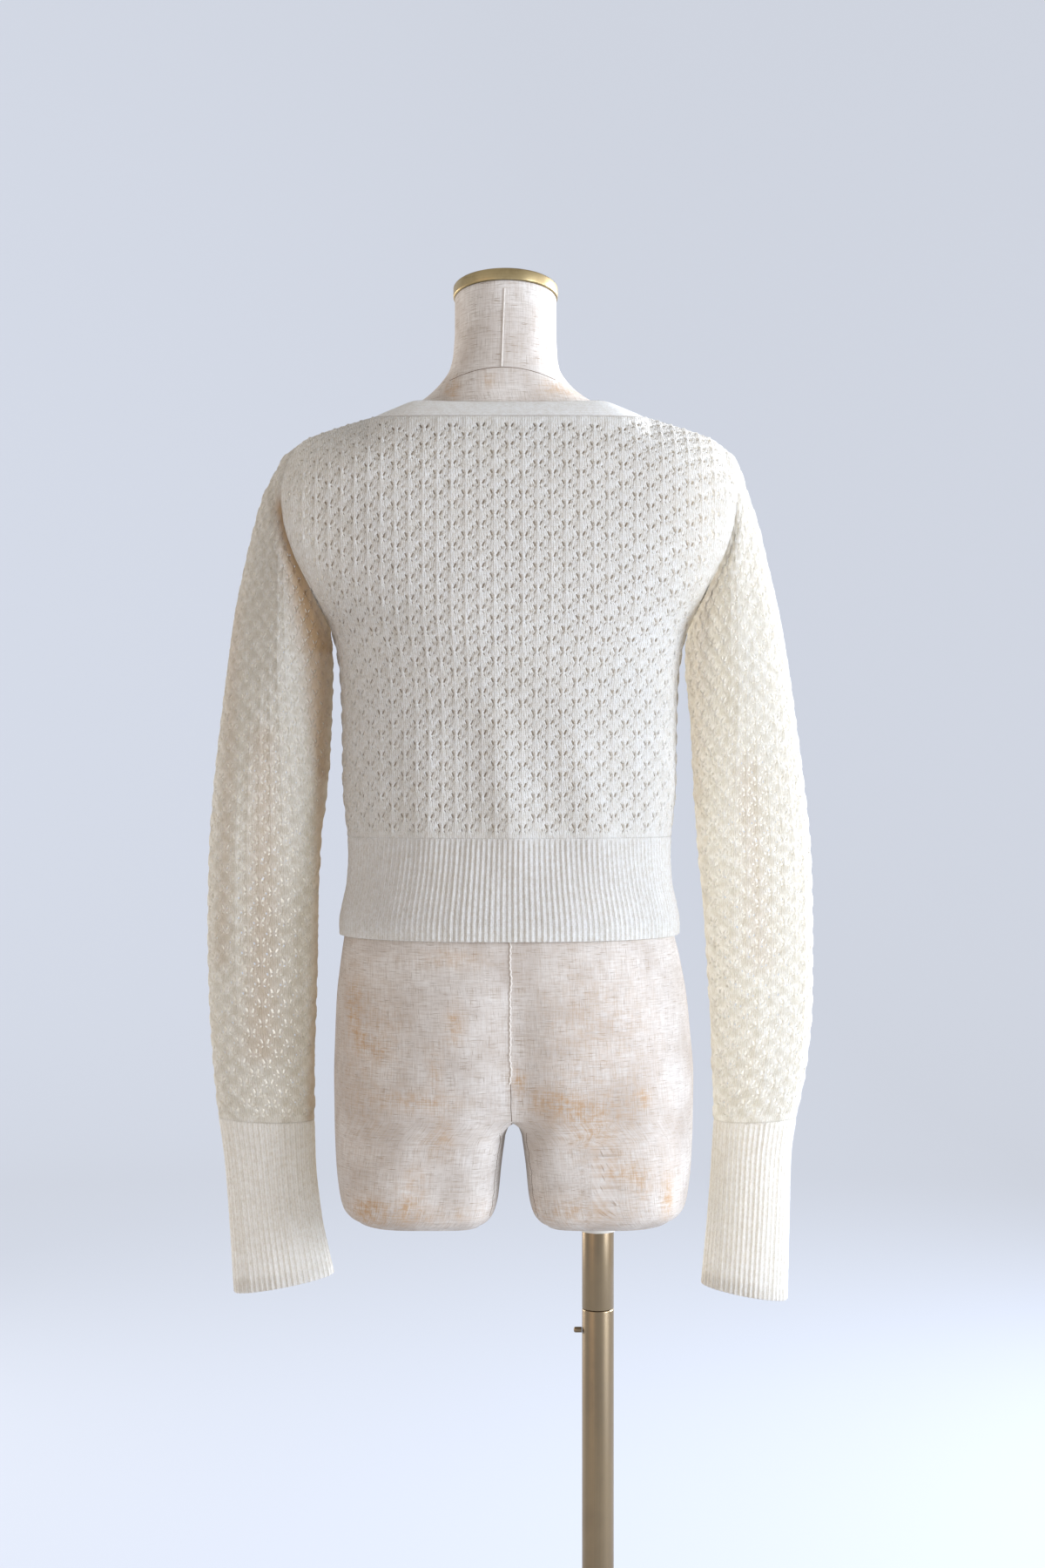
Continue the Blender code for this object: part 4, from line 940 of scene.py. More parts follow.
def rib_shell(name, grid, hearts, ribs, flip, seed):
    """Ribbed piece over a surface, its bottom edge folded in."""
    normals = surface_normals(grid, hearts)
    run = lengths(grid, 1)
    count = ribs * RIB_POINTS
    wanted = run[:, -1:] * np.arange(count + 1)[None, :] / count
    cloth = read_across(grid, normals, run, np.zeros(len(grid)), run[:, -1], wanted)
    cloth = read_up(cloth, RIB_COURSE)
    points = cloth[:, :, 0:3].copy()
    normals = cloth[:, :, 3:6]
    phase = np.arange(count + 1) / RIB_POINTS
    wave = np.abs(np.cos(math.pi * phase)) ** 0.7
    chance = np.random.default_rng(seed)
    uneven = 1 + RIB_UNEVEN * np.interp(phase, np.arange(ribs + 1), chance.normal(0, 1, ribs + 1))
    lift = RIB_HEIGHT * (wave * uneven - RIB_MEAN)[None, :] * held(cloth[:, :, 8] / RIB_FADE)
    lift += chance.normal(0.0, RIB_JITTER, lift.shape)
    points += normals * lift[:, :, None]
    uv = lattice_uv(np.arange(count + 1), np.arange(len(points)), RIB_PITCH / RIB_POINTS,
                    RIB_COURSE)
    down = unit(points[0] - points[1])
    below = [points[0] + down * RIB_FOLD * math.sin(angle) - normals[0] * RIB_FOLD * (
        1 - math.cos(angle)) for angle in np.radians([180, 135, 90, 45])]
    inner = [points[row] - normals[row] * 2 * RIB_FOLD
             for row in (RIB_FOLD_ROWS, RIB_FOLD_ROWS // 2, 1)]
    points = np.concatenate([np.stack(inner + below), points])
    extra = np.repeat(uv[:1], len(inner) + len(below), axis=0)
    extra[:, :, 1] -= (np.arange(len(extra))[::-1, None] + 1) * RIB_COURSE / 2
    return build_mesh(name, points, np.concatenate([extra, uv]), flip=flip)


def add_hem(node, face, side, material):
    """Ribbed hem of one panel; the fronts stop at the bands."""
    rows = np.linspace(HEM_BOTTOM + RIB_EDGE, HEM_TOP, RIB_ROWS)
    half = BODY.at(rows, "half")
    if face == "back":
        turns = np.linspace(-math.pi / 2, math.pi / 2, RIB_SURFACE_POINTS)[None, :]
        turns = turns * np.ones((len(rows), 1))
    else:
        start = np.arcsin((BAND_WIDTH / 2 + HALF_GAP) / half)[:, None]
        turns = start + (math.pi / 2 - start) * np.linspace(0, 1, HEM_FRONT_POINTS)[None, :]
    x = half[:, None] * np.sin(turns)
    grid = body_points(x, rows[:, None] * np.ones_like(x), face)
    grid[:, :, 0] *= side
    ribs = 2 * round(lengths(grid, 1)[-1, -1] / RIB_PITCH / 2)
    flip = (face == "back") == (side > 0)
    thing = rib_shell("rib_" + node, grid, body_hearts(rows), ribs, flip, 21)
    wear(thing, material, "rib_knit", node)


def add_cuff(side_name, material):
    """Ribbed cuff, from its slanted edge up to the sleeve."""
    side = SIDES[side_name]
    table = CUFFS[side_name]
    places = np.linspace(table.rows[-1, 0], 0.0, CUFF_RINGS)
    turns = np.linspace(-math.pi, math.pi, RIB_SURFACE_POINTS)
    grid, centre = ring_points(table, side, places, turns)
    thing = rib_shell("rib_cuff_" + side_name, grid, centre, CUFF_RIBS, side < 0, 23)
    wear(thing, material, "rib_knit", "cuff_" + side_name)


# Bands

def front_band_frames(side):
    """Seam points, directions across and inward, and step up the band from the hem."""
    hem = np.linspace(HEM_BOTTOM, HEM_TOP, 24)[:-1]
    low = np.linspace(HEM_TOP, ARMPIT_Z, 40)[:-1]
    steps = np.linspace(0, ARM_STEPS, 90)
    rows = np.concatenate([low, ARM_MIDDLE_Z - ARM_HALF * np.cos(math.pi * steps / ARM_STEPS)])
    step = np.concatenate([
        np.linspace(0, HEM_STEPS, len(hem) + 1)[:-1],
        HEM_STEPS + np.linspace(0, BODY_STEPS, len(low) + 1)[:-1],
        HEM_STEPS + BODY_STEPS + steps])
    x = np.concatenate([np.full_like(hem, BAND_WIDTH / 2), v_edge(rows)])
    z = np.concatenate([hem, row_height(rows, v_edge(rows), "front")])
    seam = body_points(side * x, z, "front")
    seam[-1] = (side * NECK_X, -HALF_GAP, NECK_Z)
    along = unit(np.gradient(seam, axis=0))
    a = body_points(side * (x - SLOPE_REACH), z - SLOPE_REACH / 4, "front")
    b = body_points(side * x, z - SLOPE_REACH / 4, "front")
    slanted = unit(np.cross(unit(np.cross(along, unit(a - b))), along))
    slanted = np.where((slanted[:, :1] * side) > 0, -slanted, slanted)
    level = np.array([-side, 0.0, 0.0])
    end = np.array([-side * NECK_ACROSS_END[0], 0.0, NECK_ACROSS_END[2]])
    above = held((z - V_POINT_Z) / BAND_V_BLEND)[:, None]
    last = HEM_STEPS + BODY_STEPS + ARM_STEPS
    turn = held(1 - (last - step) / BAND_TURN_ROWS)[:, None]
    across = level * (1 - above) + slanted * above
    across = unit(across * (1 - turn) + end * turn)
    along[-1] = (0.0, 1.0, 0.0)
    inward = unit(np.cross(along, across))
    facing = inward @ np.array([0.0, 1.0, -1.0])
    inward = np.where(facing[:, None] < 0, -inward, inward)
    return seam, across, inward, step / last


def neck_band_frames():
    """Seam points, directions across and inward along the back neck."""
    turns = np.linspace(-math.pi / 2, math.pi / 2, BAND_POINTS)
    x = NECK_X * np.sin(turns)
    seam = np.stack([x, neck_depth(x, "back"), top_line(x, "back")], axis=-1)
    turn = (np.minimum(np.abs(x) / NECK_X, 1.0) ** NECK_POWER)[:, None]
    end = np.stack([-np.sign(x) * NECK_ACROSS_END[0], np.zeros_like(x),
                    np.full_like(x, NECK_ACROSS_END[2])], axis=-1)
    across = unit(np.array(NECK_ACROSS_BACK) * (1 - turn) + end * turn)
    along = unit(np.gradient(seam, axis=0))
    inward = unit(np.cross(across, along))
    inward = np.where(inward[:, 2:] > 0, -inward, inward)
    return seam, across, inward


def band_strip(seam, across, inward, width, material, node, flip):
    """Doubled knitted strip with soft edges along a seam."""
    half = BAND_THICK / 2
    flat = np.linspace(0, 1, 13)
    crown = BAND_CROWN * np.sin(math.pi * flat)
    top = np.stack([half + (width - 2 * half) * flat, -crown], axis=-1)
    turn = np.linspace(-math.pi / 2, math.pi / 2, 7)[1:-1]
    right = np.stack([width - half + half * np.cos(turn), half + half * np.sin(turn)], axis=-1)
    under = np.stack([top[::-1, 0], np.full(len(flat), 2 * half)], axis=-1)
    left = np.stack([half - half * np.cos(turn), half - half * np.sin(turn)], axis=-1)
    profile = np.concatenate([top, right, under, left])
    points = (seam[:, None, :] + across[:, None, :] * profile[None, :, :1]
              + inward[:, None, :] * profile[None, :, 1:])
    run = lengths(seam[:, None, :], 0)[:, 0]
    u = np.tile(run[:, None], (1, len(profile)))
    v = np.tile(np.maximum(profile[None, :, 0], 0.0), (len(seam), 1))
    uv = np.stack([v, u], axis=-1)
    thing = build_mesh("knit_" + node, points, uv, flip=flip, closed=True, caps=True)
    wear(thing, material, "band_knit", node)


def add_front_band(side, on_top, node, material):
    """Button band, or the buttonhole band that lies on it and on its front's edge."""
    seam, across, inward, rise = front_band_frames(side)
    free = held((rise - LAP_ENDS[0]) / (LAP_ENDS[1] - LAP_ENDS[0]))
    sink = held((rise - LIFT_ENDS[0]) / (LIFT_ENDS[1] - LIFT_ENDS[0]))
    lap = BAND_LAP * (1 - free) if on_top else np.full_like(rise, -HALF_GAP)
    lift = BAND_LIFT * (1 - sink) if on_top else np.zeros_like(rise)
    start = seam - across * lap[:, None] - inward * lift[:, None]
    reach = BAND_WIDTH + (BAND_LAP if on_top else -2 * SEAM_GAP)
    band_strip(start, across, inward, reach, material, node, side < 0)


def add_neck_band(material):
    """Band along the back neck, between the two shoulder seams."""
    band_strip(*neck_band_frames(), BAND_WIDTH, material, "neck_band", False)


# Work with Blender's modelling tools

def deselect_all():
    """Leave nothing selected before a tool runs."""
    for thing in bpy.context.scene.objects:
        thing.select_set(False)


def activate(thing):
    """Make one piece the selected and active one."""
    deselect_all()
    thing.select_set(True)
    bpy.context.view_layer.objects.active = thing


def turned(name, profile, sides=96, soft=0.0004):
    """Turn a piece by hand: a circle extruded and resized from one profile ring to the next.

    The profile holds (radius, height) pairs. A profile that ends where it starts is a ring
    with a bore; any other has both of its ends filled.
    """
    deselect_all()
    radius, height = profile[0]
    bpy.ops.mesh.primitive_circle_add(vertices=sides, radius=radius, location=(0, 0, height))
    thing = bpy.context.active_object
    thing.name = name
    bpy.ops.object.transform_apply(location=True)
    bpy.ops.object.mode_set(mode="EDIT")
    bpy.ops.mesh.select_all(action="SELECT")
    for next_radius, next_height in profile[1:]:
        bpy.ops.mesh.extrude_region_move(
            TRANSFORM_OT_translate={"value": (0, 0, next_height - height)})
        scale = next_radius / radius
        bpy.ops.transform.resize(value=(scale, scale, 1), center_override=(0, 0, next_height))
        radius, height = next_radius, next_height
    if profile[0] != profile[-1]:
        bpy.ops.mesh.edge_face_add()
        bpy.ops.mesh.select_all(action="DESELECT")
        bpy.ops.mesh.select_non_manifold()
        bpy.ops.mesh.edge_face_add()
    bpy.ops.mesh.select_all(action="SELECT")
    bpy.ops.mesh.remove_doubles(threshold=WELD)
    bpy.ops.mesh.normals_make_consistent(inside=False)
    bpy.ops.object.mode_set(mode="OBJECT")
    if soft:
        bevel = thing.modifiers.new("Soft edges", "BEVEL")
        bevel.width = soft
        bevel.segments = 3
        bevel.limit_method = "ANGLE"
        bevel.angle_limit = EDGE_ANGLE
        bpy.ops.object.modifier_apply(modifier=bevel.name)
    bpy.ops.object.shade_smooth_by_angle(angle=SMOOTH_ANGLE)
    return thing


def place_mesh(thing, place, turn=(0, 0, 0)):
    """Move and turn a piece's mesh, its object staying at the origin."""
    activate(thing)
    thing.location = place
    thing.rotation_euler = turn
    bpy.ops.object.transform_apply(location=True, rotation=True, scale=True)
    return thing


def lay_line(name, points, radius, material, slot, sides=2):
    """Round thread, piping or seam laid along points."""
    curve = bpy.data.curves.new(name, "CURVE")
    curve.dimensions = "3D"
    curve.bevel_depth = radius
    curve.bevel_resolution = sides
    curve.use_fill_caps = True
    for run in points:
        spline = curve.splines.new("POLY")
        spline.points.add(len(run) - 1)
        spline.points.foreach_set("co", np.column_stack([run, np.ones(len(run))]).ravel())
    guide = new_object(name + "_guide", curve)
    mesh = bpy.data.meshes.new_from_object(
        guide.evaluated_get(bpy.context.evaluated_depsgraph_get()))
    bpy.data.objects.remove(guide)
    bpy.data.curves.remove(curve)
    mesh.name = name
    mesh.shade_smooth()
    return wear(new_object(name, mesh), material, slot)


# Buttons

def add_buttons(material, thread):
    """Seven four-hole buttons sewn down the middle of the buttonhole band."""
    rim = BUTTON_HEIGHT * 0.25
    well = BUTTON_HEIGHT - 2 * rim
    radius = BUTTON_RADIUS
    pattern = turned("button_pattern", [
        (radius * 0.30, 0.0), (radius * 0.85, 0.0), (radius, rim),
        (radius, BUTTON_HEIGHT - rim), (radius * 0.92, BUTTON_HEIGHT),
        (radius * 0.80, BUTTON_HEIGHT), (radius * 0.62, well), (radius * 0.20, well)], 64, 0.0002)
    for corner in range(4):
        angle = math.radians(45 + 90 * corner)
        deselect_all()
        bpy.ops.mesh.primitive_cylinder_add(
            vertices=20, radius=BUTTON_HOLE, depth=2 * BUTTON_HEIGHT,
            location=(BUTTON_HOLE_AWAY * math.cos(angle), BUTTON_HOLE_AWAY * math.sin(angle),
                      BUTTON_HEIGHT / 2))
        drill = bpy.context.active_object
        activate(pattern)
        cut = pattern.modifiers.new("Hole", "BOOLEAN")
        cut.object = drill
        bpy.ops.object.modifier_apply(modifier=cut.name)
        bpy.data.objects.remove(drill)
    rows = front_band_frames(-1.0)[0]
    stitches = []
    for i in range(BUTTON_COUNT):
        z = BUTTON_FIRST_Z + i * BUTTON_SPACING
        y = float(np.interp(z, rows[:, 2], rows[:, 1]))
        low = int(np.searchsorted(rows[:, 2], z)) - 1
        run = rows[low + 1] - rows[low]
        lean = math.atan2(-run[1], run[2])
        gap = BAND_LIFT + 2 * SEAM_GAP
        here = Vector((0.0, y - gap * math.cos(lean), z - gap * math.sin(lean)))
        turn = (math.pi / 2 + lean, 0.0, 0.0)
        button = new_object(f"shell_button_{i + 1}", pattern.data.copy())
        wear(place_mesh(button, here, turn), material, "button_shell", f"button_{i + 1}")
        spin = Matrix.Rotation(turn[0], 4, "X")
        for side in (-1, 1):
            away = BUTTON_HOLE_AWAY / math.sqrt(2)
            arc = [(side * away, t * away, well + 0.0004 * (1 - t * t) - 0.0009 * t ** 4)
                   for t in np.linspace(-1, 1, 9)]
            stitches.append([here + spin @ Vector(point) for point in arc])
    bpy.data.objects.remove(pattern)
    lay_line("button_stitches", stitches, STITCH_RADIUS, thread, "band_knit", 3)


# Dress form

def superellipse(turns, power):
    """Cosine and sine of an oval that runs squarer as its power rises."""
    c = np.cos(turns)
    s = np.sin(turns)
    return np.sign(c) * np.abs(c) ** (2 / power), np.sign(s) * np.abs(s) ** (2 / power)


def seat_shape(x, z):
    """How far the lower back of the form stands out, with a soft hollow down its middle."""
    run = held((SEAT_TOP - z) / (SEAT_TOP - SEAT_FULL))
    swell = run * run * (3 - 2 * run)
    lobes = SEAT_LOBE * np.exp(-((np.abs(x - SEAT_X) - SEAT_LOBE_X) / SEAT_LOBE_WIDE) ** 2)
    fade = held((z - SEAT_END) / (SEAT_FULL - SEAT_END))
    hollow = SEAT_HOLLOW * np.exp(-((x - SEAT_X) / SEAT_HOLLOW_WIDE) ** 2)
    return swell * (lobes * fade - hollow)


def seated(x, y, z):
    """Depth of the low form with its seat, easing from torso to thighs over a hand's width."""
    y = y + np.where(y > 0, seat_shape(x, z), 0.0) * held(y / SEAT_DEEP)
    away = np.abs(x - SEAT_X)
    if z >= TORSO_LOW:
        share = held(1 - (z - TORSO_LOW) / SEAT_EASE)
    else:
        share = -held(1 - (THIGH_TOP - z) / SEAT_EASE)
    share = share * abs(share) * (3 - 2 * abs(share))
    inner, outer = THIGH.row(THIGH_TOP, "inner outer")
    across = np.clip(2 * (away - (inner + outer) / 2) / (outer - inner), -1, 1)
    power = np.where(across > 0, THIGH_OUTER_POWER, THIGH_INNER_POWER)
    half, curve = FORM_BELOW.row(TORSO_LOW, "half power")
    for face in ("back", "front"):
        sign = sign_of(face)
        thigh = float(THIGH.at(THIGH_TOP, face)) * oval(np.abs(across), power)
        torso = float(FORM_BELOW.at(TORSO_LOW, face)) * oval(np.minimum(away / half, 1.0), curve)
        step = np.clip(thigh - torso, -SEAT_STEP, SEAT_STEP) / 2 * share
        y = y + sign * np.where(sign * y > 0, step, 0.0) * held(sign * y / SEAT_DEEP)
    return y


def torso_rings():
    """Rings of the form from the neck to the top of the thighs."""
    turns = np.linspace(-math.pi / 2, 3 * math.pi / 2, FORM_SIDES + 1)[:-1]
    neck = np.linspace(NECK_TOP_Z, SHOULDER_ROWS_Z, 56)[:-1]
    shoulder = np.linspace(SHOULDER_ROWS_Z, ARMPIT_Z, 36)
    covered = np.linspace(*COVERED_Z, 36)
    low = np.linspace(HEM_BOTTOM, TORSO_LOW, 56)
    rings = []
    for z in np.concatenate([neck, shoulder, covered, low]):
        if HEM_BOTTOM < z < ARMPIT_Z:
            table = BODY
            away = CLEARANCE + COVERED_MARGIN
            half, back, front = (value - away for value in BODY.row(z, "half back front"))
            power, centre = SECTION_POWER, 0.0
        else:
            table = FORM if z >= ARMPIT_Z else FORM_BELOW
            half, back, front, power, centre = table.row(z, "half back front power centre")
        across, deep = superellipse(turns, power)
        x = half * across
        y = np.where(deep >= 0, back, front) * deep
        if table is FORM and z < NECK_Z:
            for face in ("back", "front"):
                limit = np.maximum(depth(x, z + CLEARANCE, face) - CLEARANCE - COVERED_MARGIN, 0.0)
                inside = (np.abs(x) < panel_edge(z + CLEARANCE)) & (sign_of(face) * y > 0)
                y = np.where(inside, sign_of(face) * np.minimum(np.abs(y), limit), y)
        y = seated(x + centre, y, z)
        rise = math.tan(CAP_TILT) * held((z - TILT_FROM_Z) / (NECK_TOP_Z - TILT_FROM_Z))
        rings.append(np.stack([centre + x, y, z + rise * y], axis=-1))
    return np.array(rings)


def thigh_rings(side, above):
    """Rings of one thigh stub below the loop of points above it."""
    outer_steps = FORM_SIDES // 2
    inner_steps = len(above) - outer_steps
    rest = 2 * math.pi - LEG_OUTER_TURN
    turns = np.concatenate([
        np.linspace(LEG_OUTER_TURN / 2, -LEG_OUTER_TURN / 2, outer_steps + 1),
        -LEG_OUTER_TURN / 2 - rest * np.arange(1, inner_steps) / inner_steps])
    outside = np.cos(turns) > 0
    across, deep = (np.where(outside, outer, inner) for outer, inner in zip(
        superellipse(turns, THIGH_OUTER_POWER), superellipse(turns, THIGH_INNER_POWER)))
    low, top = THIGH.rows[0, 0], THIGH.rows[-1, 0]
    middle = above[0, 0]

    def ring(z):
        """Points of the thigh's ring at a height."""
        inner, outer, back, front = THIGH.row(z, "inner outer back front")
        x = side * ((inner + outer) / 2 + (outer - inner) / 2 * across) + middle
        y = seated(x, np.where(deep >= 0, back, front) * deep, z)
        return np.stack([x, y, np.full_like(x, z)], axis=-1)

    first = ring(top)
    rings = []
    near = held(1 - np.abs(above[:, 0] - middle) / CROTCH_REACH)
    for share in np.linspace(0, 1, CROTCH_RINGS)[1:-1]:
        level = share + (share ** 1.2 - share) * near
        drop = share + (share ** 1.6 - share) * near
        point = above + (first - above) * level[:, None]
        point[:, 2] = above[:, 2] + (first[:, 2] - above[:, 2]) * drop
        rings.append(point)
    shares = np.sin(np.linspace(0, math.pi / 2, LEG_RINGS))
    rings += [ring(top - (top - low) * share) for share in shares]
    foot = np.array([middle + side * FOOT_X, FOOT_Y, FORM_BOTTOM_Z])
    for share in FOOT_SHARES:
        rings.append(foot + (ring(low) - foot) * np.array([share, share, 0.0])
                     + np.array([0, 0, FOOT_FLAT]) * held((share - 0.9) / 0.085))
    return rings


def stain_and_shade_strength(x, y, z):
    """How stained and shaded the linen is at points: dust and rust stains and the painted shade
    over the seat's sides, all on the back.
    """
    total = np.zeros_like(x)
    for place_x, place_z, half_wide, half_high, strength in STAINS_AND_PAINTED_SHADE:
        away = ((x - place_x) / half_wide) ** 2 + ((z - place_z) / half_high) ** 2
        total += STAIN_AND_SHADE_DEPTH * strength * np.exp(-away / STAIN_AND_SHADE_SPREAD)
    return held(total) * (y > 0)


def add_form(material):
    """Linen body of the dress form, from the neck to the two short thigh stubs."""
    torso = torso_rings()
    columns = FORM_SIDES
    points = list(torso.reshape(-1, 3))
    quads = []
    places = []

    def band(upper, lower, upper_uv, lower_uv):
        """Faces between two loops of points; the uv lists hold one place more."""
        count = len(upper)
        for i in range(count):
            j = (i + 1) % count
            quads.append((upper[i], upper[j], lower[j], lower[i]))
            places.extend((upper_uv[i], upper_uv[i + 1], lower_uv[i + 1], lower_uv[i]))

    def loop_uv(loop, start, heights):
        """Arc length round a loop, nothing at the start column, beside its height."""
        closed = np.concatenate([loop, loop[:1]])
        arc = np.concatenate([[0.0], np.cumsum(np.linalg.norm(np.diff(closed, axis=0), axis=1))])
        return [(arc[k] - arc[start], heights) for k in range(len(closed))]

    for r in range(len(torso) - 1):
        upper = [r * columns + i for i in range(columns)]
        lower = [(r + 1) * columns + i for i in range(columns)]
        band(upper, lower, loop_uv(torso[r], columns // 2, torso[r, 0, 2]),
             loop_uv(torso[r + 1], columns // 2, torso[r + 1, 0, 2]))
    last = (len(torso) - 1) * columns
    back = columns // 2
    low_back = torso[-1, back]
    low_front = torso[-1, 0]
    share = (np.arange(LEG_INNER_POINTS) + 1) / (LEG_INNER_POINTS + 1)
    crotch = np.stack([
        np.full_like(share, low_back[0]), low_front[1] + (low_back[1] - low_front[1]) * share,
        CROTCH_Z + CROTCH_RISE * (2 * share - 1) ** 2], axis=-1)
    crotch_at = list(range(len(points), len(points) + len(crotch)))
    points.extend(crotch)
    for side in (1, -1):
        half = [last + (back - side * i) % columns for i in range(columns // 2 + 1)]
        loop = half + crotch_at
        above = np.array([points[i] for i in loop])
        rings = thigh_rings(math.copysign(1.0, above[columns // 4, 0]), above)
        fallen = 0.0
        last_ring = above
        upper_uv = [(-side * u, v) for u, v in loop_uv(above, 0, torso[-1, 0, 2])]
        for ring in rings:
            at = list(range(len(points), len(points) + len(ring)))
            points.extend(ring)
            fallen += float(np.linalg.norm(ring - last_ring, axis=1)[columns // 8])
            lower_uv = [(-side * u, v) for u, v in loop_uv(ring, 0, torso[-1, 0, 2] - fallen)]
            band(*(part[::side] for part in (loop, at, upper_uv, lower_uv)))
            loop, last_ring, upper_uv = at, ring, lower_uv
        middle = len(points)
        points.append(last_ring.mean(axis=0))
        centre_uv = (0.0, upper_uv[0][1])
        for i in range(len(loop)):
            j = (i + 1) % len(loop)
            quads.append((loop[i], loop[j], middle)[::side])
            places.extend([centre_uv] * 3)
    top = len(points)
    points.append(torso[0].mean(axis=0))
    for i in range(columns):
        quads.append(((i + 1) % columns, i, top))
        places.extend([(0.0, NECK_TOP_Z)] * 3)
    points = np.array(points)
    mesh = bpy.data.meshes.new("linen_form")
    mesh.from_pydata(points.tolist(), [], quads)
    mesh.uv_layers.new(name="cloth").data.foreach_set("uv", np.array(places, float).ravel())
    # Stains and painted shade over the seat, for the linen material to tint.
    stain_and_shade = mesh.attributes.new("stain_and_shade", "FLOAT", "POINT")
    stain_and_shade.data.foreach_set("value", stain_and_shade_strength(*points.T))
    work = bmesh.new()
    work.from_mesh(mesh)
    bmesh.ops.recalc_face_normals(work, faces=work.faces)
    work.to_mesh(mesh)
    work.free()
    mesh.shade_smooth()
    return wear(new_object("linen_form", mesh), material, "linen", "form_body")


def on_form(form, spots, lift):
    """Points on the back of the form at widths and heights, just proud of it."""
    tree = BVHTree.FromPolygons([v.co for v in form.data.vertices],
                                [tuple(p.vertices) for p in form.data.polygons])
    result = []
    for x, z in spots:
        hit, normal, _, _ = tree.ray_cast(Vector((x, BEHIND_FORM_Y, z)), Vector((0, -1, 0)))
        result.append(hit + normal * lift)
    return result


def wobble(count, size, seed, step=4):
    """Smooth random wander of a hand-guided seam."""
    chance = np.random.default_rng(seed)
    knots = chance.normal(0.0, size, count // step + 2)
    return np.interp(np.arange(count) / step, np.arange(len(knots)), knots)


def add_form_seams(form, pale, dark):
    """Seams of the linen cover: centre back, neck and inner thighs."""
    z = np.linspace(*NECK_SEAM_Z, 36)
    x = 0.0040 + 0.0025 * (NECK_SEAM_Z[0] - z) / 0.068
    neck_ridge = on_form(form, zip(x, z), SEAM_PROUD)
    z = np.linspace(*BACK_SEAM_Z, 50)
    sway = wobble(50, 0.0007, 31, 5) + 0.0009 * (np.arange(50) % 2)
    low_ridge = on_form(form, zip(SEAM_X + sway, z), SEAM_PROUD)
    lay_line("linen_back_piping", [neck_ridge, low_ridge], PIPING_RADIUS, pale, "linen")
    z = np.linspace(*LOW_SEAM_Z, 22)
    runs = [on_form(form, zip(SEAM_X + wobble(22, 0.0003, 32), z), -SEAM_PROUD)]
    x = np.linspace(0.052, -0.040, 40)
    z = 1.4085 - 0.0080 * ((x - 0.006) / 0.046) ** 2
    runs.append(on_form(form, zip(x, z), -SEAM_PROUD))
    for side in (1, -1):
        z = np.linspace(*THIGH_SEAM_Z, 44)
        inner = THIGH.at(z, "inner") + THIGH_SEAM_IN + np.abs(wobble(44, 0.0006, 40 + side, 3))
        runs.append(on_form(form, zip(SEAT_X + side * inner, z), -SEAM_PROUD))
    lay_line("linen_seam_lines", runs, SEAM_RADIUS, dark, "linen")


# Stand

def add_turned(name, profile, material, slot, node, place=(POLE_X, 0.0, 0.0), turn=(0, 0, 0),
               sides=96, soft=0.0004):
    """Turned piece of the stand, worn in place of its CAD node."""
    wear(place_mesh(turned(name, profile, sides, soft), place, turn), material, slot, node)


def add_stand(brass, antique, plastic, iron):
    """Neck cap, collar, two-part pole with its lock pin, socket and base plate.

    The small lengths taken off a radius or a height are the edges' chamfers.
    """
    radius, high = CAP_RADIUS, CAP_HEIGHT
    add_turned("brass_neck_cap", [
        (radius - 0.0012, 0.0), (radius, 0.0009), (radius, high - 0.0010),
        (radius - 0.0010, high), (radius * 0.8, high + 0.0008), (radius * 0.5, high + 0.0013),
        (radius * 0.1, high + 0.0015)], brass, "cap_brass", "neck_cap",
        (NECK_CENTRE_X, 0.0, CAP_BASE_Z), (CAP_TILT, 0.0, 0.0), 128)
    top = FORM_BOTTOM_Z - SEAM_GAP
    bore = POLE_RADIUS + SEAM_GAP
    step = top - COLLAR_STEP
    foot = top - COLLAR_HEIGHT
    radius = COLLAR_RADIUS
    add_turned("pole_collar_ring", [
        (bore, top), (radius, top), (radius, step), (radius - 0.0012, step - 0.0004),
        (radius - 0.0012, foot), (bore, foot), (bore, top)], plastic, "collar_plastic",
        "pole_collar")
    radius = POLE_RADIUS
    add_turned("pole_tube_upper", [(radius, POLE_JOINT_Z), (radius, top)], antique,
               "pole_brass", "pole_upper")
    base_top = BASE_HEIGHT + SEAM_GAP
    joint = POLE_JOINT_Z - SEAM_GAP
    add_turned("pole_tube_lower", [
        (radius, base_top), (radius, joint - 0.0008), (radius - 0.0008, joint)], antique,
        "pole_brass", "pole_lower")
    radius, high = PIN_RADIUS, PIN_LENGTH
    add_turned("pole_lock_pin", [
        (radius, 0.0), (radius, high - 0.0012), (radius * 0.75, high - 0.0003),
        (radius * 0.3, high)], antique, "pole_brass", "pole_pin",
        (POLE_X + POLE_RADIUS + SEAM_GAP, 0.0, PIN_Z), (0.0, math.pi / 2, 0.0), 32, 0.0002)
    radius = SOCKET_RADIUS
    rim = base_top + SOCKET_HEIGHT
    add_turned("base_socket_ring", [
        (bore, rim), (radius - 0.0015, rim), (radius, rim - 0.0015), (radius, base_top),
        (bore, base_top), (bore, rim)], iron, "base_iron", "base_socket")
    radius, high = BASE_RADIUS, BASE_HEIGHT
    add_turned("base_plate_disc", [
        (radius, 0.0), (radius, high - 0.0025), (radius - 0.0008, high - 0.0008),
        (radius - 0.0025, high)], iron, "base_iron", "base_plate", (0.0, 0.0, 0.0), sides=160)


# Materials

def tint(code):
    """Linear colour of an sRGB hex value."""
    parts = [int(code[i:i + 2], 16) / 255 for i in (1, 3, 5)]
    return (*(p / 12.92 if p <= 0.04045 else ((p + 0.055) / 1.055) ** 2.4 for p in parts), 1.0)


def feed(node, inputs):
    """Set or link the inputs of a node."""
    for key, value in inputs.items():
        if isinstance(value, bpy.types.Node):
            value = value.outputs[0]
        if isinstance(value, bpy.types.NodeSocket):
            node.id_data.links.new(value, node.inputs[key])
        else:
            node.inputs[key].default_value = value


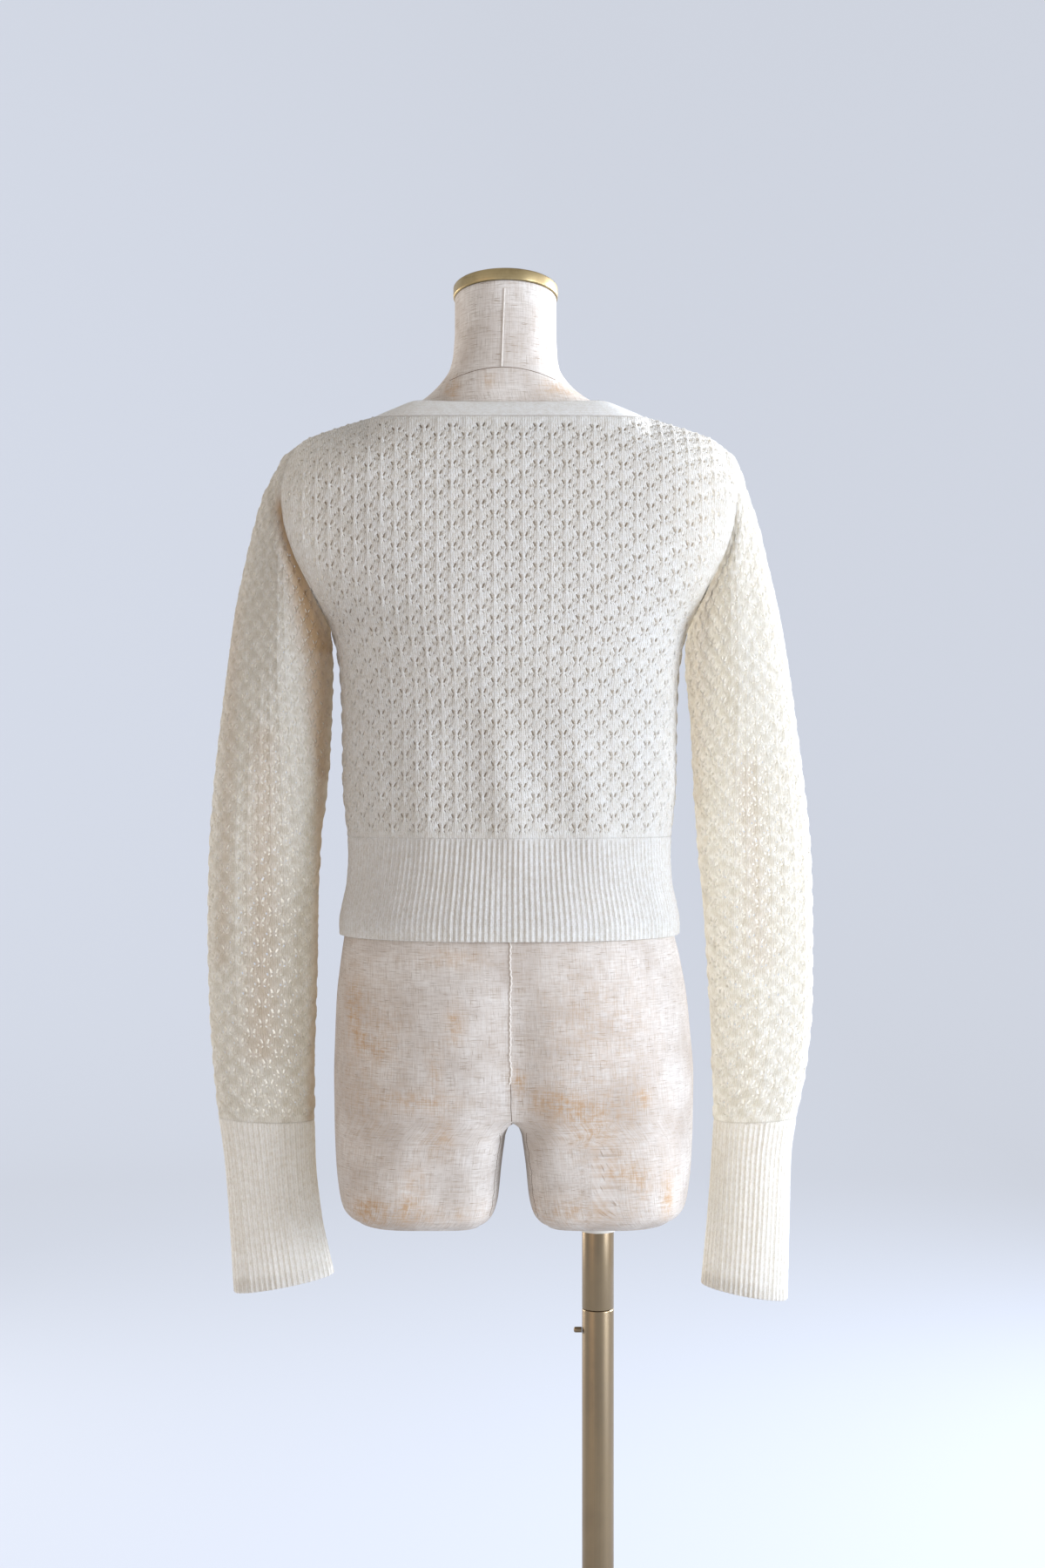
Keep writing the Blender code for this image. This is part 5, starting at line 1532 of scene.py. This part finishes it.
def add_node(tree, kind, inputs=None, **settings):
    """Add a shader node, set its settings, and set or link its inputs."""
    node = tree.nodes.new("ShaderNode" + kind)
    for key, value in settings.items():
        setattr(node, key, value)
    feed(node, inputs or {})
    return node


def new_material(name, **values):
    """Material, the call that adds nodes to it, and its Principled surface.

    Constant values are set on the surface's own sockets.
    """
    material = bpy.data.materials.new(name)
    material.use_nodes = True
    surface = material.node_tree.nodes["Principled BSDF"]
    feed(surface, {key.replace("_", " "): value for key, value in values.items()})
    return material, partial(add_node, material.node_tree), surface


def knit_material(name, light, shade, through, wide, high, seam_and_shadow_line=0.0, dense_painted_shade=0.0):
    """Knitted wool: matt, haired over, and lit through from behind.

    Wales are pale ridges with thin grey lines between, painted shade in the hollows besides the
    bump; each stitch leans to its wale's middle, and a brushed haze of fibres breaks both up.
    The last argument is how much darker, as painted shade, the close stitches between lace
    motifs are drawn, as they look where light comes through the cloth.
    """
    material, node, surface = new_material(
        name, Roughness=0.95, Sheen_Weight=0.25, Sheen_Roughness=0.5, Specular_IOR_Level=0.1)
    cloth = node("UVMap", uv_map="cloth")
    solid = node("TexCoord").outputs["Object"]
    # Stitches in their real size: a groove between wales and a bead for each stitch
    stitch = node("Mapping", {"Vector": cloth, "Scale": (1 / wide, 1 / high, 1)})
    parts = node("SeparateXYZ", {0: stitch}).outputs
    wale = node("Math", {0: parts[0], 1: 0.5}, operation="PINGPONG")
    lean = node("Math", {0: wale, 1: -0.9, 2: parts[1]}, operation="MULTIPLY_ADD")
    course = node("Math", {0: lean, 1: 0.5}, operation="PINGPONG")
    groove = node("MapRange", {
        "Value": wale, "From Min": 0.30, "From Max": 0.50, "To Min": 1.0, "To Max": 0.0},
        interpolation_type="SMOOTHSTEP")
    bead = node("MapRange", {
        "Value": course, "From Min": 0.05, "From Max": 0.35, "To Min": 0.80, "To Max": 1.0},
        interpolation_type="SMOOTHSTEP")
    yarn = node("Math", {0: groove, 1: bead}, operation="MULTIPLY")
    # Brushed hairs 0.8 by 3 mm, coarser than real ones so that the photo's distance shows
    # them, in clumps of 7 mm, and a warm cloud of 7 cm
    drawn = node("Mapping", {"Vector": cloth, "Scale": (1250, 330, 1)})
    hairs = node("TexNoise", {
        "Vector": drawn, "Scale": 1.0, "Detail": 3.0, "Roughness": 0.7}).outputs["Fac"]
    clumps = node("TexNoise", {
        "Vector": solid, "Scale": 150.0, "Detail": 3.0, "Roughness": 0.6}).outputs["Fac"]
    cloud = node("TexNoise", {"Vector": solid, "Scale": 14.0, "Detail": 2.0}).outputs["Fac"]
    relief = node("Math", {0: hairs, 1: 1.5, 2: yarn}, operation="MULTIPLY_ADD")
    soft = node("Math", {0: clumps, 1: 0.6}, operation="MULTIPLY")
    haze = node("Math", {0: hairs, 1: 1.3, 2: soft}, operation="MULTIPLY_ADD")
    # Grooves and bead edges also darken the colour: painted shade in the stitch hollows; the hairs
    # and clumps are the yarn's own uneven tone.
    grain = node("Math", {0: yarn, 1: 0.26, 2: haze}, operation="MULTIPLY_ADD")
    pale = node("MapRange", {"Value": grain, "From Min": 0.90, "From Max": 1.30})
    base = node("MixRGB", {"Fac": pale, "Color1": tint(shade), "Color2": tint(light)})
    warm = node("MapRange", {
        "Value": cloud, "From Min": 0.35, "From Max": 0.70, "To Min": 0.0, "To Max": 0.25})
    colour = node("MixRGB", {"Fac": warm, "Color1": base, "Color2": tint(shade)})
    # Painted shade: the close stitches between motifs are drawn darker, as they look with light
    # coming through the cloth.
    if dense_painted_shade:
        repeat = node("Mapping", {
            "Vector": cloth, "Location": (0.0, -0.5, 0.0),
            "Scale": (2 * math.pi / REPEAT_WIDE, 2 * math.pi / REPEAT_HIGH, 1)})
        motif = node("SeparateXYZ", {0: repeat}).outputs
        side_wave, high_wave = (node("Math", {0: part}, operation="COSINE") for part in motif[:2])
        waves = node("Math", {0: side_wave, 1: high_wave}, operation="MULTIPLY")
        uneven = node("Math", {0: clumps, 1: 1.6, 2: waves}, operation="MULTIPLY_ADD")
        close_painted_shade = node("MapRange", {
            "Value": uneven, "From Min": 1.30, "From Max": -0.10, "To Min": 0.0, "To Max": dense_painted_shade},
            interpolation_type="SMOOTHSTEP")
        colour = node("MixRGB", {"Fac": close_painted_shade, "Color1": colour, "Color2": tint("#BFB69F")})
    # Tan line along the sewn-on edge: partly the seam, partly painted shadow cast by the band's
    # edge.
    if seam_and_shadow_line:
        edge = node("SeparateXYZ", {0: cloth}).outputs[0]
        line = node("MapRange", {
            "Value": edge, "From Min": seam_and_shadow_line, "From Max": 2 * seam_and_shadow_line,
            "To Min": 0.45, "To Max": 0.0})
        colour = node("MixRGB", {"Fac": line, "Color1": colour, "Color2": tint("#9C8468")})
    # Painted warm shade where a sleeve lies double beside the body; less light comes through there
    # as well.
    doubled_painted_shade = node("Attribute", attribute_name="doubled_painted_shade").outputs["Fac"]
    shaded = node("Math", {0: doubled_painted_shade, 1: 0.95}, operation="MULTIPLY")
    colour = node("MixRGB", {"Fac": shaded, "Color1": colour, "Color2": tint("#BE9C72")})
    bump = node("Bump", {"Height": relief, "Distance": 0.00045, "Strength": 0.8})
    feed(surface, {"Base Color": colour, "Normal": bump})
    glow = node("MixRGB", {
        "Fac": 1.0, "Color1": colour, "Color2": tint("#F9F5EE")}, blend_type="MULTIPLY")
    lit_through = node("BsdfTranslucent", {"Color": glow, "Normal": bump})
    share = node("MapRange", {"Value": doubled_painted_shade, "To Min": through, "To Max": through * 0.6})
    both = node("MixShader", {0: share, 1: surface, 2: lit_through})
    feed(material.node_tree.nodes["Material Output"], {"Surface": both})
    return material


def linen_material():
    """Natural linen, plain woven from slubby yarn: unbleached grey, with brown slubs along
    the weft, faint rust and dust stains, wide weak painted shade over the seat's sides, a
    painted shadow under the neck cap, and a dull surface."""
    material, node, surface = new_material(
        "natural linen, slub woven", Roughness=0.88, Specular_IOR_Level=0.25,
        Sheen_Weight=0.1)
    cloth = node("UVMap", uv_map="cloth")
    solid = node("TexCoord").outputs["Object"]
    # Uneven yarn 1.1 mm wide and 21 to 23 mm long both ways, then brown slubs 0.5 mm wide and
    # 11 mm long, wider than real ones so that the photo's distance shows them
    bands, bars, slubs, runs = (
        node("TexNoise", {"Scale": 1.0, "Detail": detail, "Vector": node("Mapping", {
            "Vector": cloth, "Scale": scale, "Location": place})})
        for scale, place, detail in (
            ((48, 900, 1), (0, 0, 0), 3.0), ((900, 44, 1), (0, 0, 0), 3.0),
            ((85, 1900, 1), (0, 0, 0), 1.0), ((1900, 95, 1), (7, 3, 0), 1.0)))
    cross = node("Math", {0: bands, 1: bars}, operation="ADD")
    uneven = node("MapRange", {"Value": cross, "From Min": 0.88, "From Max": 1.22, "To Max": 0.50})
    slub = node("MapRange", {"Value": slubs, "From Min": 0.61, "From Max": 0.72, "To Max": 0.85})
    run = node("MapRange", {"Value": runs, "From Min": 0.62, "From Max": 0.73, "To Max": 0.75})
    specks = node("Math", {0: slub, 1: run}, operation="MAXIMUM")
    weave = node("Mapping", {"Vector": cloth, "Scale": (
        2 * math.pi / LINEN_PITCH, 2 * math.pi / LINEN_PITCH, 1)})
    parts = node("SeparateXYZ", {0: weave}).outputs
    waves = [node("Math", {0: part}, operation="SINE") for part in parts[:2]]
    threads = node("Math", {0: waves[0], 1: waves[1]}, operation="MULTIPLY")
    cloud = node("TexNoise", {
        "Vector": solid, "Scale": 24.0, "Detail": 4.0, "Roughness": 0.6}).outputs["Fac"]
    mottle = node("MapRange", {"Value": cloud, "From Min": 0.35, "From Max": 0.68})
    ground = node("MixRGB", {"Fac": mottle, "Color1": tint("#D9D1C6"), "Color2": tint("#BDB1A4")})
    grain = node("MapRange", {"Value": threads, "From Min": -1.0, "From Max": 1.0, "To Max": 0.12})
    woven = node("MixRGB", {"Fac": grain, "Color1": ground, "Color2": tint("#A2937F")})
    woven = node("MixRGB", {"Fac": uneven, "Color1": woven, "Color2": tint("#B3A28F")})
    speckled = node("MixRGB", {"Fac": specks, "Color1": woven, "Color2": tint("#93806C")})
    # Stains, and the painted shade over the seat's sides, tint the linen orange-brown in
    # thread-wise patches.
    stain_and_shade = node("Attribute", attribute_name="stain_and_shade").outputs["Fac"]
    patch = node("TexNoise", {
        "Vector": solid, "Scale": 160.0, "Detail": 4.0, "Roughness": 0.7}).outputs["Fac"]
    threaded = node("Math", {0: cross, 1: patch}, operation="MULTIPLY")
    ragged = node("Math", {0: threaded, 1: 2.6, 2: -0.75}, operation="MULTIPLY_ADD")
    blotch_and_shade = node("Math", {0: stain_and_shade, 1: ragged}, operation="MULTIPLY", use_clamp=True)
    stained_and_shaded = node("MixRGB", {"Fac": blotch_and_shade, "Color1": speckled, "Color2": tint("#B8956F")})
    # Painted shadow: a thin dark band on the linen just under the brass cap.
    height = node("SeparateXYZ", {0: cloth}).outputs[1]
    painted_cap_shadow = node("MapRange", {
        "Value": height, "From Min": NECK_TOP_Z - 0.0022, "From Max": NECK_TOP_Z - 0.0014,
        "To Max": 0.85})
    colour = node("MixRGB", {"Fac": painted_cap_shadow, "Color1": stained_and_shaded, "Color2": tint("#4A3A2E")})
    relief = node("Math", {0: specks, 1: 1.5, 2: threads}, operation="MULTIPLY_ADD")
    bump = node("Bump", {"Height": relief, "Distance": 0.00010, "Strength": 0.6})
    feed(surface, {"Base Color": colour, "Normal": bump})
    return material


def thread_material(name, colour, dark):
    """Spun thread or piping: dull and a little uneven in colour."""
    material, node, surface = new_material(name, Roughness=0.9, Specular_IOR_Level=0.2)
    solid = node("TexCoord").outputs["Object"]
    cloud = node("TexNoise", {"Vector": solid, "Scale": 400.0, "Detail": 3.0})
    mixed = node("MixRGB", {"Fac": cloud, "Color1": tint(colour), "Color2": tint(dark)})
    bump = node("Bump", {"Height": cloud, "Distance": 0.0002, "Strength": 0.5})
    feed(surface, {"Base Color": mixed, "Normal": bump})
    return material


def metal_material(name, bright, dull, grain_scale, turn, roughness, patina):
    """Brushed metal: fine lines run round the piece, with duller patches of wear."""
    material, node, surface = new_material(name, Metallic=1.0)
    solid = node("TexCoord").outputs["Object"]
    lines = node("Mapping", {"Vector": solid, "Rotation": turn, "Scale": grain_scale})
    brushed = node("TexNoise", {"Vector": lines, "Scale": 1.0, "Detail": 4.0})
    patches = node("TexNoise", {
        "Vector": solid, "Scale": patina, "Detail": 4.0, "Roughness": 0.65}).outputs["Fac"]
    worn = node("MapRange", {"Value": patches, "From Min": 0.35, "From Max": 0.80})
    streak = node("Math", {0: brushed, 1: 0.5, 2: worn}, operation="MULTIPLY_ADD", use_clamp=True)
    colour = node("MixRGB", {"Fac": streak, "Color1": tint(bright), "Color2": tint(dull)})
    rough = node("MapRange", {"Value": streak, "To Min": roughness, "To Max": roughness + 0.18})
    bump = node("Bump", {"Height": brushed, "Distance": 0.00005, "Strength": 0.5})
    feed(surface, {"Base Color": colour, "Roughness": rough, "Normal": bump})
    return material


def plastic_material():
    """Polypropylene, moulded: off-white, satin, and faintly yellowed by dust."""
    material, node, surface = new_material(
        "polypropylene, moulded off-white", Roughness=0.45, Subsurface_Weight=0.1,
        Subsurface_Radius=(0.002, 0.0015, 0.001))
    solid = node("TexCoord").outputs["Object"]
    dust = node("TexNoise", {"Vector": solid, "Scale": 120.0, "Detail": 4.0})
    colour = node("MixRGB", {"Fac": dust, "Color1": tint("#E6E1D6"), "Color2": tint("#CFC7B7")})
    bump = node("Bump", {"Height": dust, "Distance": 0.0001, "Strength": 0.3})
    feed(surface, {"Base Color": colour, "Normal": bump})
    return material


def shell_material():
    """Trochus shell, turned and polished: creamy, with a soft pearl banding."""
    material, node, surface = new_material(
        "trochus shell, turned and polished", Roughness=0.22, Coat_Weight=0.4,
        Coat_Roughness=0.1)
    solid = node("TexCoord").outputs["Object"]
    stretched = node("Mapping", {"Vector": solid, "Scale": (90, 90, 420)})
    bands = node("TexNoise", {"Vector": stretched, "Scale": 1.0, "Detail": 3.0, "Distortion": 1.2})
    colour = node("MixRGB", {"Fac": bands, "Color1": tint("#EFE7D6"), "Color2": tint("#C9BBA2")})
    feed(surface, {"Base Color": colour})
    return material


# Studio

def add_lamp(name, place, target, size, power, colour):
    """Soft square lamp that faces a point."""
    light = bpy.data.lights.new(name, "AREA")
    light.size = size
    light.energy = power
    light.color = tint(colour)[:3]
    lamp = new_object(name, light)
    lamp.location = place
    lamp.rotation_euler = (Vector(target) - Vector(place)).to_track_quat("-Z", "Y").to_euler()


def add_studio():
    """Pale floor that sweeps up all round, window light from beyond, and the camera."""
    scene = bpy.context.scene
    scene.view_settings.view_transform = "Standard"
    deselect_all()
    bpy.ops.mesh.primitive_circle_add(vertices=96, radius=FLOOR_RADIUS, fill_type="NGON")
    floor = bpy.context.active_object
    floor.name = "studio_floor"
    bpy.ops.object.mode_set(mode="EDIT")
    bpy.ops.mesh.select_all(action="SELECT")
    bpy.ops.mesh.select_mode(type="EDGE")
    bpy.ops.mesh.region_to_loop()
    radius, height = FLOOR_RADIUS, 0.0
    for angle in np.linspace(0, math.pi / 2, 13)[1:]:
        next_radius = FLOOR_RADIUS + FLOOR_SWEEP * math.sin(angle)
        next_height = FLOOR_SWEEP * (1 - math.cos(angle))
        bpy.ops.mesh.extrude_edges_move(
            TRANSFORM_OT_translate={"value": (0, 0, next_height - height)})
        grow = next_radius / radius
        bpy.ops.transform.resize(value=(grow, grow, 1), center_override=(0, 0, next_height))
        radius, height = next_radius, next_height
    bpy.ops.mesh.extrude_edges_move(TRANSFORM_OT_translate={"value": (0, 0, FLOOR_WALL)})
    bpy.ops.object.mode_set(mode="OBJECT")
    floor.data.shade_smooth()
    paper = new_material("matt studio paper", Roughness=1.0, Specular_IOR_Level=0.0,
                         Base_Color=tint("#747982"), Emission_Color=tint("#E1E4EB"),
                         Emission_Strength=0.66)[0]
    floor.data.materials.append(paper)
    world = bpy.data.worlds.new("studio")
    scene.world = world
    world.use_nodes = True
    feed(world.node_tree.nodes["Background"], {"Color": tint("#F1F3F7"), "Strength": 0.60})
    add_lamp("window", (-2.5, -1.35, 1.6), (0, 0, 1.05), 1.0, 220, "#E9F1FF")
    add_lamp("room", (-2.75, 1.4, 1.35), (0, 0, 1.0), 1.4, 132, "#DEEAFF")
    add_lamp("far_window", (2.2, -1.6, 0.85), (0.2, 0, 0.65), 1.0, 40, "#FFF8F0")
    add_lamp("warm_wall", (2.2, 2.2, 1.2), (0, 0, 1.0), 2.0, 14, "#FFDDB8")
    camera = bpy.data.cameras.new("camera")
    camera.lens = LENS_MM
    camera.sensor_fit = "AUTO"
    camera.sensor_width = SENSOR_MM
    eye = new_object("camera", camera)
    eye.location = CAMERA_PLACE
    eye.rotation_euler = (math.pi / 2, 0.0, math.pi)
    scene.camera = eye


# The piece is put together here

# Off-white brushed mohair: a warm, matt haze over pale stitches, with light through it and a faint
# painted shade on the close stitches.
LACE = knit_material("brushed mohair wool, lace knitted", "#FCFAF3", "#E3DBCB", 0.40,
                     WALE, COURSE, dense_painted_shade=0.06)
# The same lace where nothing lies behind it: painted shade draws its close stitches dark, as a
# checker, as they look lit from behind.
SLEEVE_LACE = knit_material("brushed mohair wool, lace knitted, single layer", "#FBFAF5",
                            "#E3DDCF", 0.56, WALE, COURSE, dense_painted_shade=0.30)
# Rib of the same wool, thicker and so less lit through.
RIB = knit_material("brushed mohair wool, rib knitted", "#FCFAF4", "#E5DED0", 0.43,
                    RIB_PITCH / 2, RIB_COURSE)
# Doubled band: smooth, almost opaque, with a tan line where it is sewn on, partly the seam and
# partly painted shadow under its edge.
BAND = knit_material("brushed mohair wool, knitted plain", "#FDFBF5", "#E8E1D3", 0.26,
                     BAND_WALE, COURSE, 0.0009)
# Cream yarn of the buttons, pale piping and dark seam thread of the linen: dull lines.
YARN_THREAD = thread_material("wool sewing yarn, spun", "#E8E2D5", "#CFC5B2")
LINEN = linen_material()
PIPING = thread_material("linen piping, folded", "#E0D8CC", "#C8BDAE")
SEAM_THREAD = thread_material("brown cotton thread, spun", "#6E5A46", "#544333")
# Brass, brushed round the edge and lacquered: warm yellow with thin lines along it.
BRASS = metal_material("brass, brushed and lacquered", "#BDA77A", "#94805A", (8, 8, 900),
                       (-CAP_TILT, 0, 0), 0.28, 60.0)
# Brass tube, drawn and antiqued: brown, darker where the patina lies.
ANTIQUE = metal_material("antiqued brass tube, drawn", "#9C8768", "#80705A", (900, 900, 10),
                         (0, 0, 0), 0.24, 9.0)
# Steel plate under bronze lacquer: deep brown with a satin shine.
BRONZE = metal_material("steel plate, bronze lacquered", "#7C684A", "#625238", (60, 60, 60),
                        (0, 0, 0), 0.38, 9.0)
PLASTIC = plastic_material()
SHELL = shell_material()

add_back(LACE)
for side_word in SIDES:
    add_front(side_word, LACE)
    add_sleeve(side_word, SLEEVE_LACE)
    add_cuff(side_word, RIB)
add_hem("hem_back", "back", 1.0, RIB)
add_hem("hem_front_left", "front", 1.0, RIB)
add_hem("hem_front_right", "front", -1.0, RIB)
add_front_band(1.0, False, "band_left", BAND)
add_front_band(-1.0, True, "band_right", BAND)
add_neck_band(BAND)
add_buttons(SHELL, YARN_THREAD)
FORM_PIECE = add_form(LINEN)
add_form_seams(FORM_PIECE, PIPING, SEAM_THREAD)
add_stand(BRASS, ANTIQUE, PLASTIC, BRONZE)
add_studio()
